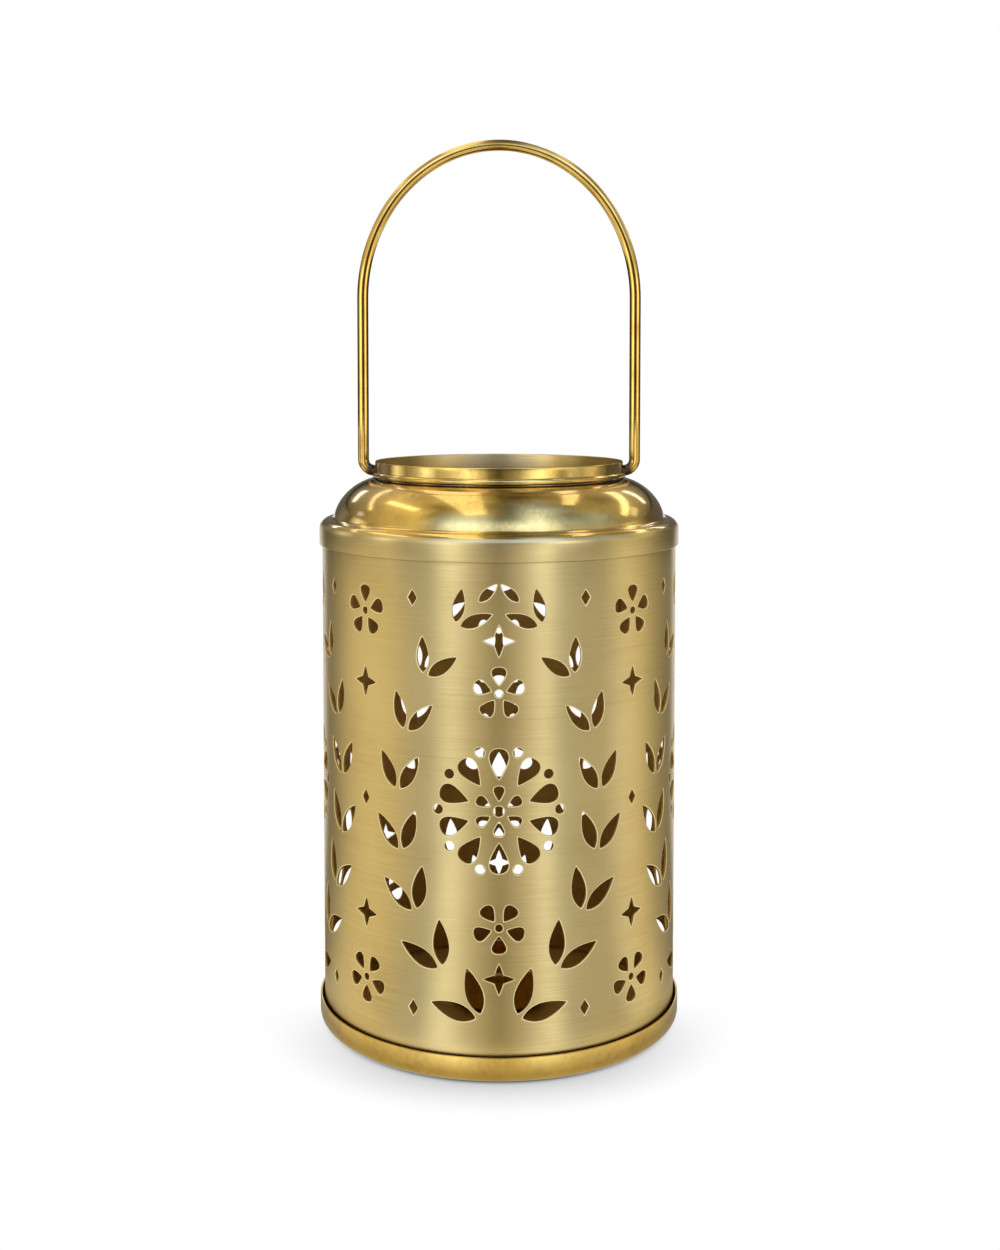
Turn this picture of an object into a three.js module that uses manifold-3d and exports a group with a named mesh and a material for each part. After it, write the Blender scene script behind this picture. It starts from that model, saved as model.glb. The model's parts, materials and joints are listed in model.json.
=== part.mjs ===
// A pierced brass candle lantern: a rolled sheet drum on a spun pan, a spun shoulder with a straight
// neck ring, a wire bail that swings in two holes of the neck, and a small candle cup riveted to the pan.
// Millimetres, +Z up. The origin is on the floor, on the lantern's axis. The front faces -Y.

import * as THREE from "three";
import { mergeVertices } from "three/addons/utils/BufferGeometryUtils.js";
import Module from "manifold-3d";

const wasm = await Module();
wasm.setup();

// Sheet and clearances
const SHEET = 0.9;
const JOINT_GAP = 0.3;

// Drum: the rolled and pierced sheet
const DRUM_RADIUS = 75;
const DRUM_HEIGHT = 209;
const LAP_WIDTH = 9;

// Pan under the drum
const PAN_RIM_GAP = 1;
const PAN_HEIGHT = 10.4;
const PAN_CORNER = 3.7;
const PAN_FOOT_WIDTH = 6;
const FLOOR_LIFT = 3;
const FLOOR_SLOPE = 2.2;

// Shoulder: skirt over the drum, ledge and dome
const SKIRT_HEIGHT = 10.6;
const SKIRT_ROUND = 4;
const LEDGE_WIDTH = 5.6;
const LEDGE_FILLET = 1.2;
const DOME_ARC = 22.6;
const DOME_SINK = 5.4;

// Neck ring
const NECK_RADIUS = 52.6;
const NECK_HEIGHT = 6.9;
const NECK_TAIL = 1.4;
const BEAD_HEIGHT = 2.6;
const BEAD_WIDTH = 1.3;
const EYE_PLAY = 0.3;
const EYE_EDGE = 0.05;

// Bail of round wire
const WIRE_RADIUS = 2.35;
const BEND_RADIUS = 4.6;
const BAIL_STANDOFF = 0.5;
const BAIL_LEG = 72.7;
const BAIL_ARCH = 64.5;
const TIP_LENGTH = 2.2;
const TIP_HEAD = 1.3;
const TIP_HEAD_RIM = 1.15;

// Candle cup and its rivet
const CUP_RADIUS = 20.5;
const CUP_HEIGHT = 18.6;
const CUP_SHEET = 0.8;
const CUP_CORNER = 2.4;
const CUP_LIP = 0.9;
const CUP_DIMPLE = 1.5;
const DIMPLE_PLAY = 0.8;
const RIVET_RADIUS = 1.6;
const RIVET_HEAD = 1.3;
const RIVET_HEAD_RIM = 1.8;
const RIVET_TAIL = 1.1;
const RIVET_TAIL_RIM = 1.1;
const BURR_RIM = 2.2;
const BURR_SHEET = 0.6;

// Cut-outs: a medallion in a leafy oval, with blossoms, stars and diamonds, repeated round the drum
const PANELS = 4;
const SEAM_PANEL = 1;
const FIELD_MARGIN = 8.4;
const BORDER_WIDTH = 33.8;
const MEDALLION_MARGIN = 16;
const MEDALLION_PETALS = 10;
const HEART_PETALS = 6;
const LEAF_STEP = 21.5;
const LEAF_LENGTH = 18.5;
const LEAF_WIDTH = 7.4;
const LEAF_SPREAD = 29;
const LEAF_TAPER = 0.3;
const LEAVES_FROM = -0.89;
const LEAVES_TO = 0.78;
const TIP_LEAF_AT = 0.9;
const TIP_LEAF_SIZE = 0.5;
const RIB_WIDTH = 2.6;
const BLOSSOM_RADIUS = 10.2;
const BLOSSOM_PETALS = 5;
const STAR_RADIUS = 6;
const DIAMOND_RADIUS = 3;

// Number of flats round the turned pieces and the wire, and of straight runs in a quarter of the arch
const FLATS = 48;
const CUP_FLATS = 24;
const RIVET_FLATS = 16;
const WIRE_SIDES = 8;
const HEAD_SIDES = 12;
const ARCH_STEPS = 10;

// How far a cutter reaches to each side of the sheet, and the steps of its grid in a millimetre
const CUT_REACH = 6;
const GRID_STEPS = 1024;

const RADIAN = Math.PI / 180;

// How far a sheet's upper corner stands off its lower one, in sheets, where it bends by about 45 degrees
const SLOPE_SHIFT = 0.41;

// Heights and radii that follow from the sizes above

// How far above an inside corner of a given radius a sheet edge stops, when it stands a gap off the wall.
function cornerRise(radius, gap) {
  const inset = radius - gap;
  return radius - Math.sqrt(radius * radius - inset * inset);
}

const drumBottom = SHEET + cornerRise(PAN_CORNER - SHEET, PAN_RIM_GAP) + JOINT_GAP;
const drumTop = drumBottom + DRUM_HEIGHT;
const drumInner = DRUM_RADIUS - SHEET;
const panRim = DRUM_RADIUS + PAN_RIM_GAP + SHEET;
const floorTop = FLOOR_LIFT + SHEET;
const skirtRadius = DRUM_RADIUS + JOINT_GAP + SHEET;
const ledgeTop = drumTop + JOINT_GAP + cornerRise(SKIRT_ROUND - SHEET, JOINT_GAP) + SHEET;
const domeFoot = skirtRadius - LEDGE_WIDTH;
const domeCentreRadius = domeFoot - Math.sqrt(DOME_ARC ** 2 - DOME_SINK ** 2);
const domeCentreHeight = ledgeTop - DOME_SINK;
const neckHole = NECK_RADIUS + JOINT_GAP;
const lipAngle = Math.acos((neckHole - domeCentreRadius) / DOME_ARC) / RADIAN;
const lipHeight = domeCentreHeight + DOME_ARC * Math.sin(lipAngle * RADIAN);
const beadBottom = lipHeight + JOINT_GAP;
const eyeRadius = WIRE_RADIUS + EYE_PLAY;
const pivotHeight = beadBottom + EYE_EDGE + eyeRadius;
const tipX = NECK_RADIUS - SHEET - TIP_LENGTH;
const rivetHole = RIVET_RADIUS + JOINT_GAP;
const rivetHeadRadius = RIVET_RADIUS + RIVET_HEAD_RIM;
const dimpleRadius = rivetHeadRadius + DIMPLE_PLAY;
const dimpleFloor = floorTop + CUP_SHEET;
const skirtBottom = ledgeTop - SKIRT_HEIGHT;
const panelWidth = (2 * Math.PI * DRUM_RADIUS) / PANELS;
const fieldMiddle = (PAN_HEIGHT + skirtBottom) / 2;
const ovalHalfHeight = (skirtBottom - PAN_HEIGHT) / 2 - FIELD_MARGIN;
const ovalHalfWidth = (panelWidth - BORDER_WIDTH) / 2;
const medallionRadius = ovalHalfWidth - MEDALLION_MARGIN;

// Helpers

// Nearest step of a grid so fine that it moves nothing that matters.
function onGrid(value) {
  return Math.round(value * GRID_STEPS) / GRID_STEPS;
}

// Points [radius, height] of an arc, angles in degrees from the outward direction.
function arc(centreRadius, centreHeight, radius, from, to, steps) {
  const points = [];
  for (let i = 0; i <= steps; i += 1) {
    const angle = (from + ((to - from) * i) / steps) * RADIAN;
    points.push([centreRadius + radius * Math.cos(angle), centreHeight + radius * Math.sin(angle)]);
  }
  return points;
}

// Turns a closed outline of [radius, height] points, anticlockwise on paper, about the Z axis.
function turned(outline, flats) {
  const points = [...outline, outline[0]].map(([r, z]) => new THREE.Vector2(r, z));
  return new THREE.LatheGeometry(points, flats).rotateX(Math.PI / 2);
}

function solidOf(geometry) {
  const bare = geometry.clone();
  bare.deleteAttribute("normal");
  bare.deleteAttribute("uv");
  const merged = mergeVertices(bare, 1e-4);
  const mesh = new wasm.Mesh({
    numProp: 3,
    vertProperties: new Float32Array(merged.attributes.position.array),
    triVerts: new Uint32Array(merged.index.array),
  });
  return new wasm.Manifold(mesh);
}

function geometryOf(solid) {
  const mesh = solid.getMesh();
  const geometry = new THREE.BufferGeometry();
  geometry.setAttribute("position", new THREE.BufferAttribute(mesh.vertProperties, 3));
  geometry.setIndex(new THREE.BufferAttribute(mesh.triVerts, 1));
  geometry.computeVertexNormals();
  return geometry;
}

// A straight round bar along X, from one x to another.
function barAlongX(radius, fromX, toX, height, sides) {
  const bar = new THREE.CylinderGeometry(radius, radius, Math.abs(toX - fromX), sides);
  bar.rotateZ(Math.PI / 2);
  return bar.translate((fromX + toX) / 2, 0, height);
}

// Outlines of the cut-outs, drawn flat about their own start point, growing along +v

// Pointed at both ends and fullest below the middle.
function leafOutline(length, width) {
  const shape = new THREE.Shape();
  shape.moveTo(0, 0);
  shape.lineTo(width * 0.47, length * 0.3);
  shape.lineTo(width * 0.36, length * 0.68);
  shape.lineTo(0, length);
  shape.lineTo(-width * 0.36, length * 0.68);
  shape.lineTo(-width * 0.47, length * 0.3);
  return shape;
}

// Narrow at its start and blunt at its far end.
function petalOutline(length, width) {
  const shape = new THREE.Shape();
  shape.moveTo(0, 0);
  shape.lineTo(width * 0.5, length * 0.68);
  shape.lineTo(width * 0.24, length);
  shape.lineTo(-width * 0.24, length);
  shape.lineTo(-width * 0.5, length * 0.68);
  return shape;
}

// A star, whose points reach the outer radius and whose notches the inner one.
function starOutline(points, outer, inner) {
  const shape = new THREE.Shape();
  for (let i = 0; i < 2 * points; i += 1) {
    const radius = i % 2 === 0 ? outer : inner;
    const angle = (Math.PI * i) / points;
    shape[i === 0 ? "moveTo" : "lineTo"](radius * Math.sin(angle), radius * Math.cos(angle));
  }
  return shape;
}

// A small round hole, drawn with four corners.
function dotOutline(radius) {
  return starOutline(2, radius, radius);
}

// One cut-out: its outline, its place on the flat sheet and its turn in degrees to the right of up.
function cut(shape, u, v, turn = 0) {
  return { shape, u, v, turn };
}

// Petals round a centre, each starting at one radius and ending at another.
function ring(count, u, v, start, end, width, firstTurn = 0) {
  const cuts = [];
  for (let i = 0; i < count; i += 1) {
    const turn = firstTurn + (360 * i) / count;
    const angle = turn * RADIAN;
    const petal = petalOutline(end - start, width);
    cuts.push(cut(petal, u + start * Math.sin(angle), v + start * Math.cos(angle), turn));
  }
  return cuts;
}

// The round flower in the middle of each panel: a heart, a ring of petals, and dots between their tips.
function medallion(u, v) {
  const radius = medallionRadius;
  const dotRadius = radius * 0.075;
  const dotRing = radius - dotRadius;
  const cuts = [cut(dotOutline(radius * 0.08), u, v)];
  cuts.push(...ring(HEART_PETALS, u, v, radius * 0.16, radius * 0.38, radius * 0.16));
  cuts.push(...ring(MEDALLION_PETALS, u, v, radius * 0.48, radius * 0.94, radius * 0.29));
  for (let i = 0; i < MEDALLION_PETALS; i += 1) {
    const angle = (2 * Math.PI * (i + 0.5)) / MEDALLION_PETALS;
    cuts.push(cut(dotOutline(dotRadius), u + dotRing * Math.sin(angle), v + dotRing * Math.cos(angle)));
  }
  return cuts;
}

function blossom(u, v, turn = 0) {
  const radius = BLOSSOM_RADIUS;
  const cuts = [cut(dotOutline(radius * 0.15), u, v)];
  cuts.push(...ring(BLOSSOM_PETALS, u, v, radius * 0.32, radius, radius * 0.56, turn));
  return cuts;
}

function star(u, v) {
  return cut(starOutline(4, STAR_RADIUS, STAR_RADIUS * 0.4), u, v);
}

function diamond(u, v) {
  return cut(starOutline(2, DIAMOND_RADIUS, DIAMOND_RADIUS * 0.66), u, v);
}

// One branch of the oval bends outwards from a root below to a tip above, on an arc of a circle. It carries
// pairs of leaves, which get smaller towards the tip, and ends in a single leaf. Places along it are shares
// of the way from its middle to its tip. Side is -1 for left.
function branch(u, v, side) {
  const radius = (ovalHalfWidth ** 2 + ovalHalfHeight ** 2) / (2 * ovalHalfWidth);
  const centre = ovalHalfWidth - radius;
  const reach = Math.asin(ovalHalfHeight / radius) / RADIAN;
  const first = LEAVES_FROM * reach;
  const last = LEAVES_TO * reach;
  const pairs = Math.floor(((last - first) * RADIAN * radius) / LEAF_STEP) + 1;
  const cuts = [];
  const addLeaf = (angle, sideways, spread, size) => {
    const along = angle * RADIAN;
    const leafU = centre + (radius + sideways) * Math.cos(along);
    const leafV = (radius + sideways) * Math.sin(along);
    const leaf = leafOutline(LEAF_LENGTH * size, LEAF_WIDTH * size);
    cuts.push(cut(leaf, u + side * leafU, v + leafV, side * (spread - angle)));
  };
  for (let i = 0; i < pairs; i += 1) {
    const share = i / (pairs - 1);
    const angle = first + (last - first) * share;
    addLeaf(angle, RIB_WIDTH / 2, LEAF_SPREAD, 1 - LEAF_TAPER * share);
    addLeaf(angle, -RIB_WIDTH / 2, -LEAF_SPREAD, 1 - LEAF_TAPER * share);
  }
  addLeaf(TIP_LEAF_AT * reach, 0, 0, TIP_LEAF_SIZE);
  return cuts;
}

// Stands between two panels.
function border(u, v) {
  const cuts = [...blossom(u, v + ovalHalfHeight * 0.85), ...blossom(u, v - ovalHalfHeight * 0.83, 180)];
  cuts.push(star(u, v + ovalHalfHeight * 0.53), star(u, v - ovalHalfHeight * 0.53));
  cuts.push(diamond(u, v));
  return cuts;
}

function panel(u, v) {
  const cuts = [...medallion(u, v), ...branch(u, v, -1), ...branch(u, v, 1)];
  cuts.push(...blossom(u, v + ovalHalfHeight * 0.52), ...blossom(u, v - ovalHalfHeight * 0.52, 180));
  cuts.push(star(u, v + ovalHalfHeight * 0.75), star(u, v - ovalHalfHeight * 0.75));
  for (const side of [-1, 1]) {
    const cornerU = u + side * ovalHalfWidth * 0.83;
    cuts.push(diamond(cornerU, v + ovalHalfHeight * 0.93), diamond(cornerU, v - ovalHalfHeight * 0.91));
  }
  return cuts;
}

// Takes a flat cut-out straight through the sheet where it lies on the drum: u runs round it and v up it.
// Its corners and its direction are put on a fine grid, which keeps the cutter's walls exactly flat.
function cutterOf({ shape, u, v, turn }) {
  const block = new THREE.ExtrudeGeometry(shape, { depth: 1, bevelEnabled: false });
  block.rotateZ(-turn * RADIAN).translate(u, v, 0);
  const outX = onGrid(CUT_REACH * Math.sin(u / DRUM_RADIUS));
  const outY = onGrid(-CUT_REACH * Math.cos(u / DRUM_RADIUS));
  const position = block.attributes.position;
  for (let i = 0; i < position.count; i += 1) {
    const angle = position.getX(i) / DRUM_RADIUS;
    const side = position.getZ(i) > 0.5 ? 1 : -1;
    const x = onGrid(DRUM_RADIUS * Math.sin(angle)) + side * outX;
    const y = onGrid(-DRUM_RADIUS * Math.cos(angle)) + side * outY;
    position.setXYZ(i, x, y, onGrid(position.getY(i)));
  }
  return solidOf(block);
}

function ornament() {
  const cuts = [];
  for (let i = 0; i < PANELS; i += 1) {
    cuts.push(...panel(i * panelWidth, fieldMiddle));
    if (i !== SEAM_PANEL) {
      cuts.push(...border((i + 0.5) * panelWidth, fieldMiddle));
    }
  }
  return cuts.map(cutterOf);
}

// The pieces

// Spun dish with a raised floor, a flat foot ring and a rim that stands round the drum.
function panGeometry() {
  const cornerRadius = panRim - PAN_CORNER;
  const footInner = cornerRadius - PAN_FOOT_WIDTH;
  return turned(
    [
      [rivetHole, FLOOR_LIFT],
      [footInner - FLOOR_SLOPE, FLOOR_LIFT],
      [footInner, 0],
      ...arc(cornerRadius, PAN_CORNER, PAN_CORNER, -90, 0, 3),
      [panRim, PAN_HEIGHT],
      [panRim - SHEET, PAN_HEIGHT],
      ...arc(cornerRadius, PAN_CORNER, PAN_CORNER - SHEET, 0, -90, 3),
      [footInner + SHEET * SLOPE_SHIFT, SHEET],
      [footInner - FLOOR_SLOPE + SHEET * SLOPE_SHIFT, floorTop],
      [rivetHole, floorTop],
    ],
    FLATS,
  );
}

// The drum is one sheet, rolled so that its ends lap at the back, where a panel's border is left out.
function drumGeometry() {
  const sheet = turned(
    [
      [drumInner, drumBottom],
      [DRUM_RADIUS, drumBottom],
      [DRUM_RADIUS, drumTop],
      [drumInner, drumTop],
    ],
    FLATS,
  );
  const seamAngle = (360 * (SEAM_PANEL + 0.5)) / PANELS;
  const lap = new THREE.BoxGeometry(LAP_WIDTH, SHEET + JOINT_GAP, DRUM_HEIGHT - 2 * SKIRT_HEIGHT);
  lap.translate(0, -drumInner + SHEET / 2, drumBottom + DRUM_HEIGHT / 2);
  lap.rotateZ(seamAngle * RADIAN);
  let drum = solidOf(sheet).add(solidOf(lap));
  for (const cutter of ornament()) {
    drum = drum.subtract(cutter);
  }
  return geometryOf(drum);
}

// Skirt, ledge and dome are spun from one sheet, with a round hole for the neck.
function shoulderGeometry() {
  const roundCentre = skirtRadius - SKIRT_ROUND;
  const roundHeight = ledgeTop - SKIRT_ROUND;
  const footAngle = Math.asin((DOME_SINK + LEDGE_FILLET) / DOME_ARC) / RADIAN;
  const innerArc = DOME_ARC - SHEET;
  const innerLip = Math.acos((neckHole - domeCentreRadius) / innerArc) / RADIAN;
  const innerFoot = Math.asin((DOME_SINK - SHEET + LEDGE_FILLET) / innerArc) / RADIAN;
  return turned(
    [
      [skirtRadius, skirtBottom],
      ...arc(roundCentre, roundHeight, SKIRT_ROUND, 0, 90, 3),
      [domeFoot + LEDGE_FILLET, ledgeTop],
      ...arc(domeCentreRadius, domeCentreHeight, DOME_ARC, footAngle, lipAngle, 5),
      ...arc(domeCentreRadius, domeCentreHeight, innerArc, innerLip, innerFoot, 5),
      [domeFoot - SHEET + LEDGE_FILLET, ledgeTop - SHEET],
      ...arc(roundCentre, roundHeight, SKIRT_ROUND - SHEET, 90, 0, 3),
      [skirtRadius - SHEET, skirtBottom],
    ],
    FLATS,
  );
}

// Straight ring with a bead that sits on the dome, and two eyes through ring and bead for the bail.
function neckGeometry() {
  const inner = NECK_RADIUS - SHEET;
  const bead = NECK_RADIUS + BEAD_WIDTH;
  const beadEdge = BEAD_HEIGHT * 0.28;
  const beadTop = beadBottom + BEAD_HEIGHT;
  const ringGeometry = turned(
    [
      [NECK_RADIUS, beadBottom - NECK_TAIL],
      [NECK_RADIUS, beadBottom],
      [bead, beadBottom + beadEdge],
      [bead, beadTop - beadEdge],
      [NECK_RADIUS, beadTop],
      [NECK_RADIUS, beadBottom + NECK_HEIGHT],
      [inner, beadBottom + NECK_HEIGHT],
      [inner, beadBottom - NECK_TAIL],
    ],
    FLATS,
  );
  const drill = barAlongX(eyeRadius, -bead - SHEET, bead + SHEET, pivotHeight, 2 * WIRE_SIDES);
  return geometryOf(solidOf(ringGeometry).subtract(solidOf(drill)));
}

// The wire's centreline runs in through one eye, up the leg, over the arch and down to the other eye.
function bailPath() {
  const legX = NECK_RADIUS + BAIL_STANDOFF + BEND_RADIUS;
  const bendHeight = pivotHeight + BEND_RADIUS;
  const archHeight = pivotHeight + BAIL_LEG;
  const half = [];
  half.push([tipX, pivotHeight]);
  for (const [x, z] of arc(legX - BEND_RADIUS, bendHeight, BEND_RADIUS, -90, 0, 4)) {
    half.push([x, z]);
  }
  for (let i = 0; i <= ARCH_STEPS; i += 1) {
    const angle = (i * Math.PI) / (2 * ARCH_STEPS);
    half.push([legX * Math.cos(angle), archHeight + BAIL_ARCH * Math.sin(angle)]);
  }
  const other = half.slice(0, -1).reverse().map(([x, z]) => [-x, z]);
  return [...half, ...other].map(([x, z]) => new THREE.Vector3(x, 0, z));
}

// Round wire swept along straight runs between the points, with a mitre at each of them.
function sweptWire(points, radius, sides) {
  const positions = [];
  const index = [];
  const across = new THREE.Vector3(0, 1, 0);
  points.forEach((point, i) => {
    const before = points[Math.max(i - 1, 0)];
    const after = points[Math.min(i + 1, points.length - 1)];
    const along = after.clone().sub(before).normalize();
    const out = across.clone().cross(along);
    for (let k = 0; k < sides; k += 1) {
      const angle = (2 * Math.PI * k) / sides;
      const corner = point.clone();
      corner.addScaledVector(across, radius * Math.sin(angle));
      corner.addScaledVector(out, radius * Math.cos(angle));
      positions.push(corner.x, corner.y, corner.z);
    }
  });
  for (let i = 0; i < points.length - 1; i += 1) {
    for (let k = 0; k < sides; k += 1) {
      const a = i * sides + k;
      const b = i * sides + ((k + 1) % sides);
      index.push(a, b, b + sides, a, b + sides, a + sides);
    }
  }
  const last = (points.length - 1) * sides;
  for (let k = 1; k < sides - 1; k += 1) {
    index.push(0, k + 1, k);
    index.push(last, last + k, last + k + 1);
  }
  const geometry = new THREE.BufferGeometry();
  geometry.setAttribute("position", new THREE.Float32BufferAttribute(positions, 3));
  geometry.setIndex(index);
  return geometry;
}

// The bail's ends are hammered over inside the neck, so that they can't slip back through the eyes.
function bailGeometry() {
  const headRadius = WIRE_RADIUS + TIP_HEAD_RIM;
  const headEnd = tipX - TIP_HEAD;
  let wire = solidOf(sweptWire(bailPath(), WIRE_RADIUS, WIRE_SIDES));
  for (const side of [-1, 1]) {
    const head = barAlongX(headRadius, side * headEnd, side * (tipX + JOINT_GAP), pivotHeight, HEAD_SIDES);
    wire = wire.add(solidOf(head));
  }
  return geometryOf(wire);
}

// Spun cup that keeps a small candle upright. It stands on the pan's floor on a dimple, which takes the
// rivet's head below the seat.
function cupGeometry() {
  const under = floorTop + CUP_DIMPLE;
  const corner = CUP_RADIUS - CUP_CORNER;
  const rim = floorTop + CUP_HEIGHT;
  return turned(
    [
      [rivetHole, floorTop],
      [dimpleRadius, floorTop],
      [dimpleRadius + CUP_DIMPLE, under],
      ...arc(corner, under + CUP_CORNER, CUP_CORNER, -90, 0, 3),
      [CUP_RADIUS, rim - 2 * CUP_LIP],
      [CUP_RADIUS + CUP_LIP, rim - CUP_LIP],
      [CUP_RADIUS + CUP_LIP, rim],
      [CUP_RADIUS - CUP_SHEET, rim],
      ...arc(corner, under + CUP_CORNER, CUP_CORNER - CUP_SHEET, 0, -90, 3),
      [dimpleRadius + CUP_DIMPLE - CUP_SHEET * SLOPE_SHIFT, under + CUP_SHEET],
      [dimpleRadius - CUP_SHEET * SLOPE_SHIFT, dimpleFloor],
      [rivetHole, dimpleFloor],
    ],
    CUP_FLATS,
  );
}

// Round-headed rivet through cup and pan, spread over the burr below.
function rivetGeometry() {
  const under = FLOOR_LIFT - BURR_SHEET;
  const tailRadius = RIVET_RADIUS + RIVET_TAIL_RIM;
  return turned(
    [
      [0, under - RIVET_TAIL],
      [tailRadius * 0.7, under - RIVET_TAIL],
      [tailRadius, under],
      [RIVET_RADIUS, under],
      [RIVET_RADIUS, dimpleFloor],
      [rivetHeadRadius, dimpleFloor],
      [rivetHeadRadius * 0.76, dimpleFloor + RIVET_HEAD * 0.72],
      [0, dimpleFloor + RIVET_HEAD],
    ],
    RIVET_FLATS,
  );
}

// Small washer that the rivet's tail is spread over, under the pan.
function burrGeometry() {
  return turned(
    [
      [rivetHole, FLOOR_LIFT - BURR_SHEET],
      [RIVET_RADIUS + BURR_RIM, FLOOR_LIFT - BURR_SHEET],
      [RIVET_RADIUS + BURR_RIM, FLOOR_LIFT],
      [rivetHole, FLOOR_LIFT],
    ],
    RIVET_FLATS,
  );
}

// Materials

function brushedBrass() {
  return new THREE.MeshStandardMaterial({ color: 0xc3a662, metalness: 1, roughness: 0.38 });
}

function spunBrass() {
  return new THREE.MeshStandardMaterial({ color: 0xc79a45, metalness: 1, roughness: 0.24 });
}

function drawnBrass() {
  return new THREE.MeshStandardMaterial({ color: 0xcaa04c, metalness: 1, roughness: 0.2 });
}

function piece(name, geometry, material) {
  const mesh = new THREE.Mesh(geometry, material);
  mesh.name = name;
  return mesh;
}

// The assembly: the body stands on the floor, and the bail swings about the X axis through the eyes

const body = new THREE.Group();
body.add(piece("base_pan", panGeometry(), spunBrass()));
body.add(piece("pierced_drum", drumGeometry(), brushedBrass()));
body.add(piece("shoulder_dome", shoulderGeometry(), spunBrass()));
body.add(piece("neck_ring", neckGeometry(), spunBrass()));
body.add(piece("candle_cup", cupGeometry(), spunBrass()));
body.add(piece("cup_rivet", rivetGeometry(), drawnBrass()));
body.add(piece("rivet_burr", burrGeometry(), drawnBrass()));

const swinging = new THREE.Group();
swinging.add(piece("bail_handle", bailGeometry(), drawnBrass()));

const lantern = new THREE.Group();
lantern.add(body, swinging);

export default lantern;
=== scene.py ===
# The looks of a pierced brass candle lantern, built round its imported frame.
# Metres, +Z up, and the front faces -Y. Outlines are drawn in millimetres and scaled once, at the end.

import json
from math import acos, asin, cos, degrees, floor, pi, radians, sin, sqrt, tau

import bmesh
import bpy
from bpy.props import FloatProperty, FloatVectorProperty, IntProperty, PointerProperty
from mathutils import Matrix, Vector


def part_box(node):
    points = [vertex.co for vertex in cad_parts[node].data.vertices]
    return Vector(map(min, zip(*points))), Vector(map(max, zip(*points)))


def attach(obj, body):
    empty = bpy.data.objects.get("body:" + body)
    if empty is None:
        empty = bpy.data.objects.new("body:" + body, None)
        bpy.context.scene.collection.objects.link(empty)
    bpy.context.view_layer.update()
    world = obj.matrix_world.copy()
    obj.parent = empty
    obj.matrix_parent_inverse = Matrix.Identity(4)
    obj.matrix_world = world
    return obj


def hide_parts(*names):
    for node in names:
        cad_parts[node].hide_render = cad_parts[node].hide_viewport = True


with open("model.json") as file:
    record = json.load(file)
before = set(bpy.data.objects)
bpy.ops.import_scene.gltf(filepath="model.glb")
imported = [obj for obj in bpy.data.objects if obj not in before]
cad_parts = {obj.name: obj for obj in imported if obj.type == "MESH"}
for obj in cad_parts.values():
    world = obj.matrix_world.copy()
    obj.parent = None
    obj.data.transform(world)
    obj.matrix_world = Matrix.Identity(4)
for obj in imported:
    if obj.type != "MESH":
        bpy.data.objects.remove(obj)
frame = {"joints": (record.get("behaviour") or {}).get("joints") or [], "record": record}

bl_info = {
    "name": "Pierced Brass Lantern",
    "version": (1, 0, 0),
    "blender": (4, 5, 0),
    "location": "View3D > Sidebar > Lantern",
    "description": "Builds a pierced brass candle lantern, its finishes and a plain studio",
    "category": "Add Mesh",
}

MM = 0.001

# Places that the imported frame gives, in millimetres
PAN_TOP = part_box("base_pan")[1] / MM
DRUM_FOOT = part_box("pierced_drum")[0] / MM
DRUM_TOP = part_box("pierced_drum")[1] / MM
SHOULDER_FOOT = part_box("shoulder_dome")[0] / MM
SHOULDER_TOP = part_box("shoulder_dome")[1] / MM
NECK_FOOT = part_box("neck_ring")[0] / MM
NECK_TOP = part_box("neck_ring")[1] / MM
CUP_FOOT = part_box("candle_cup")[0] / MM
CUP_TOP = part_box("candle_cup")[1] / MM
RIVET_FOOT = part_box("cup_rivet")[0] / MM
RIVET_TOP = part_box("cup_rivet")[1] / MM
BURR_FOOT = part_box("rivet_burr")[0] / MM
BURR_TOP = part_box("rivet_burr")[1] / MM
BAIL_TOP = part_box("bail_handle")[1] / MM
PIVOT = Vector(frame["joints"][0]["pos_m"]) / MM

# Steps round a spun piece, along a drawn curve and round the wire
SPIN_STEPS = 240
SMALL_SPIN_STEPS = 96
OUTLINE_STEPS = 6
WIRE_RESOLUTION = 8
# The width of the strips that the drum is bent in, and of the seam between the sheet's ends
STRIP_WIDTH = 1.8
SEAM_GAP = 0.12
# How far the seam lies inside the flap's edge, and the flap's play under the sheet and room to its ends
LAP_END = 1.0
LAP_PLAY = 0.03
FLAP_MARGIN = 10.6
# How far to the side the inner corners of a slope lie, as a share of the sheet, and the round of its bends
SLOPE_SHIFT = 0.41
FLOOR_BEND = 0.8
CUP_BEND = 0.5
# The radius of the rivet's spread tail, as a share of its head's
TAIL_SHARE = 0.79
# How far under its ledge the shoulder's skirt is brushed, as the drum is
BRUSHED_BELOW = 1.6
# Steps along the bail's arch, and the heights over its pivot between which the painted shade and patina of
# its ends fade out
ARCH_STEPS = 40
END_SHADE_FULL, END_SHADE_NIL = 3, 9

# The camera, fitted to the photograph's ellipses
CAMERA_PLACE = (0.0, -0.69545, 0.27872)
CAMERA_DIP = radians(3.334)
CAMERA_LENS = 47.105
CAMERA_SHIFT = (0.0008, -0.1324)


def linear(hex_colour):
    """An sRGB hex colour as linear red, green, blue and alpha."""
    channels = [((hex_colour >> shift) & 255) / 255 for shift in (16, 8, 0)]
    return (*[c / 12.92 if c <= 0.04045 else ((c + 0.055) / 1.055) ** 2.4 for c in channels], 1.0)


def length(name, description, millimetres):
    """A length that a user can change, kept in metres as Blender does."""
    return FloatProperty(name=name, description=description, default=millimetres * MM, min=0.0,
                         precision=5, subtype="DISTANCE", unit="LENGTH")


def colour(name, description, hex_colour):
    """A colour that a user can change."""
    return FloatVectorProperty(name=name, description=description, default=linear(hex_colour), size=4,
                               min=0.0, max=1.0, subtype="COLOR")


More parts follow.
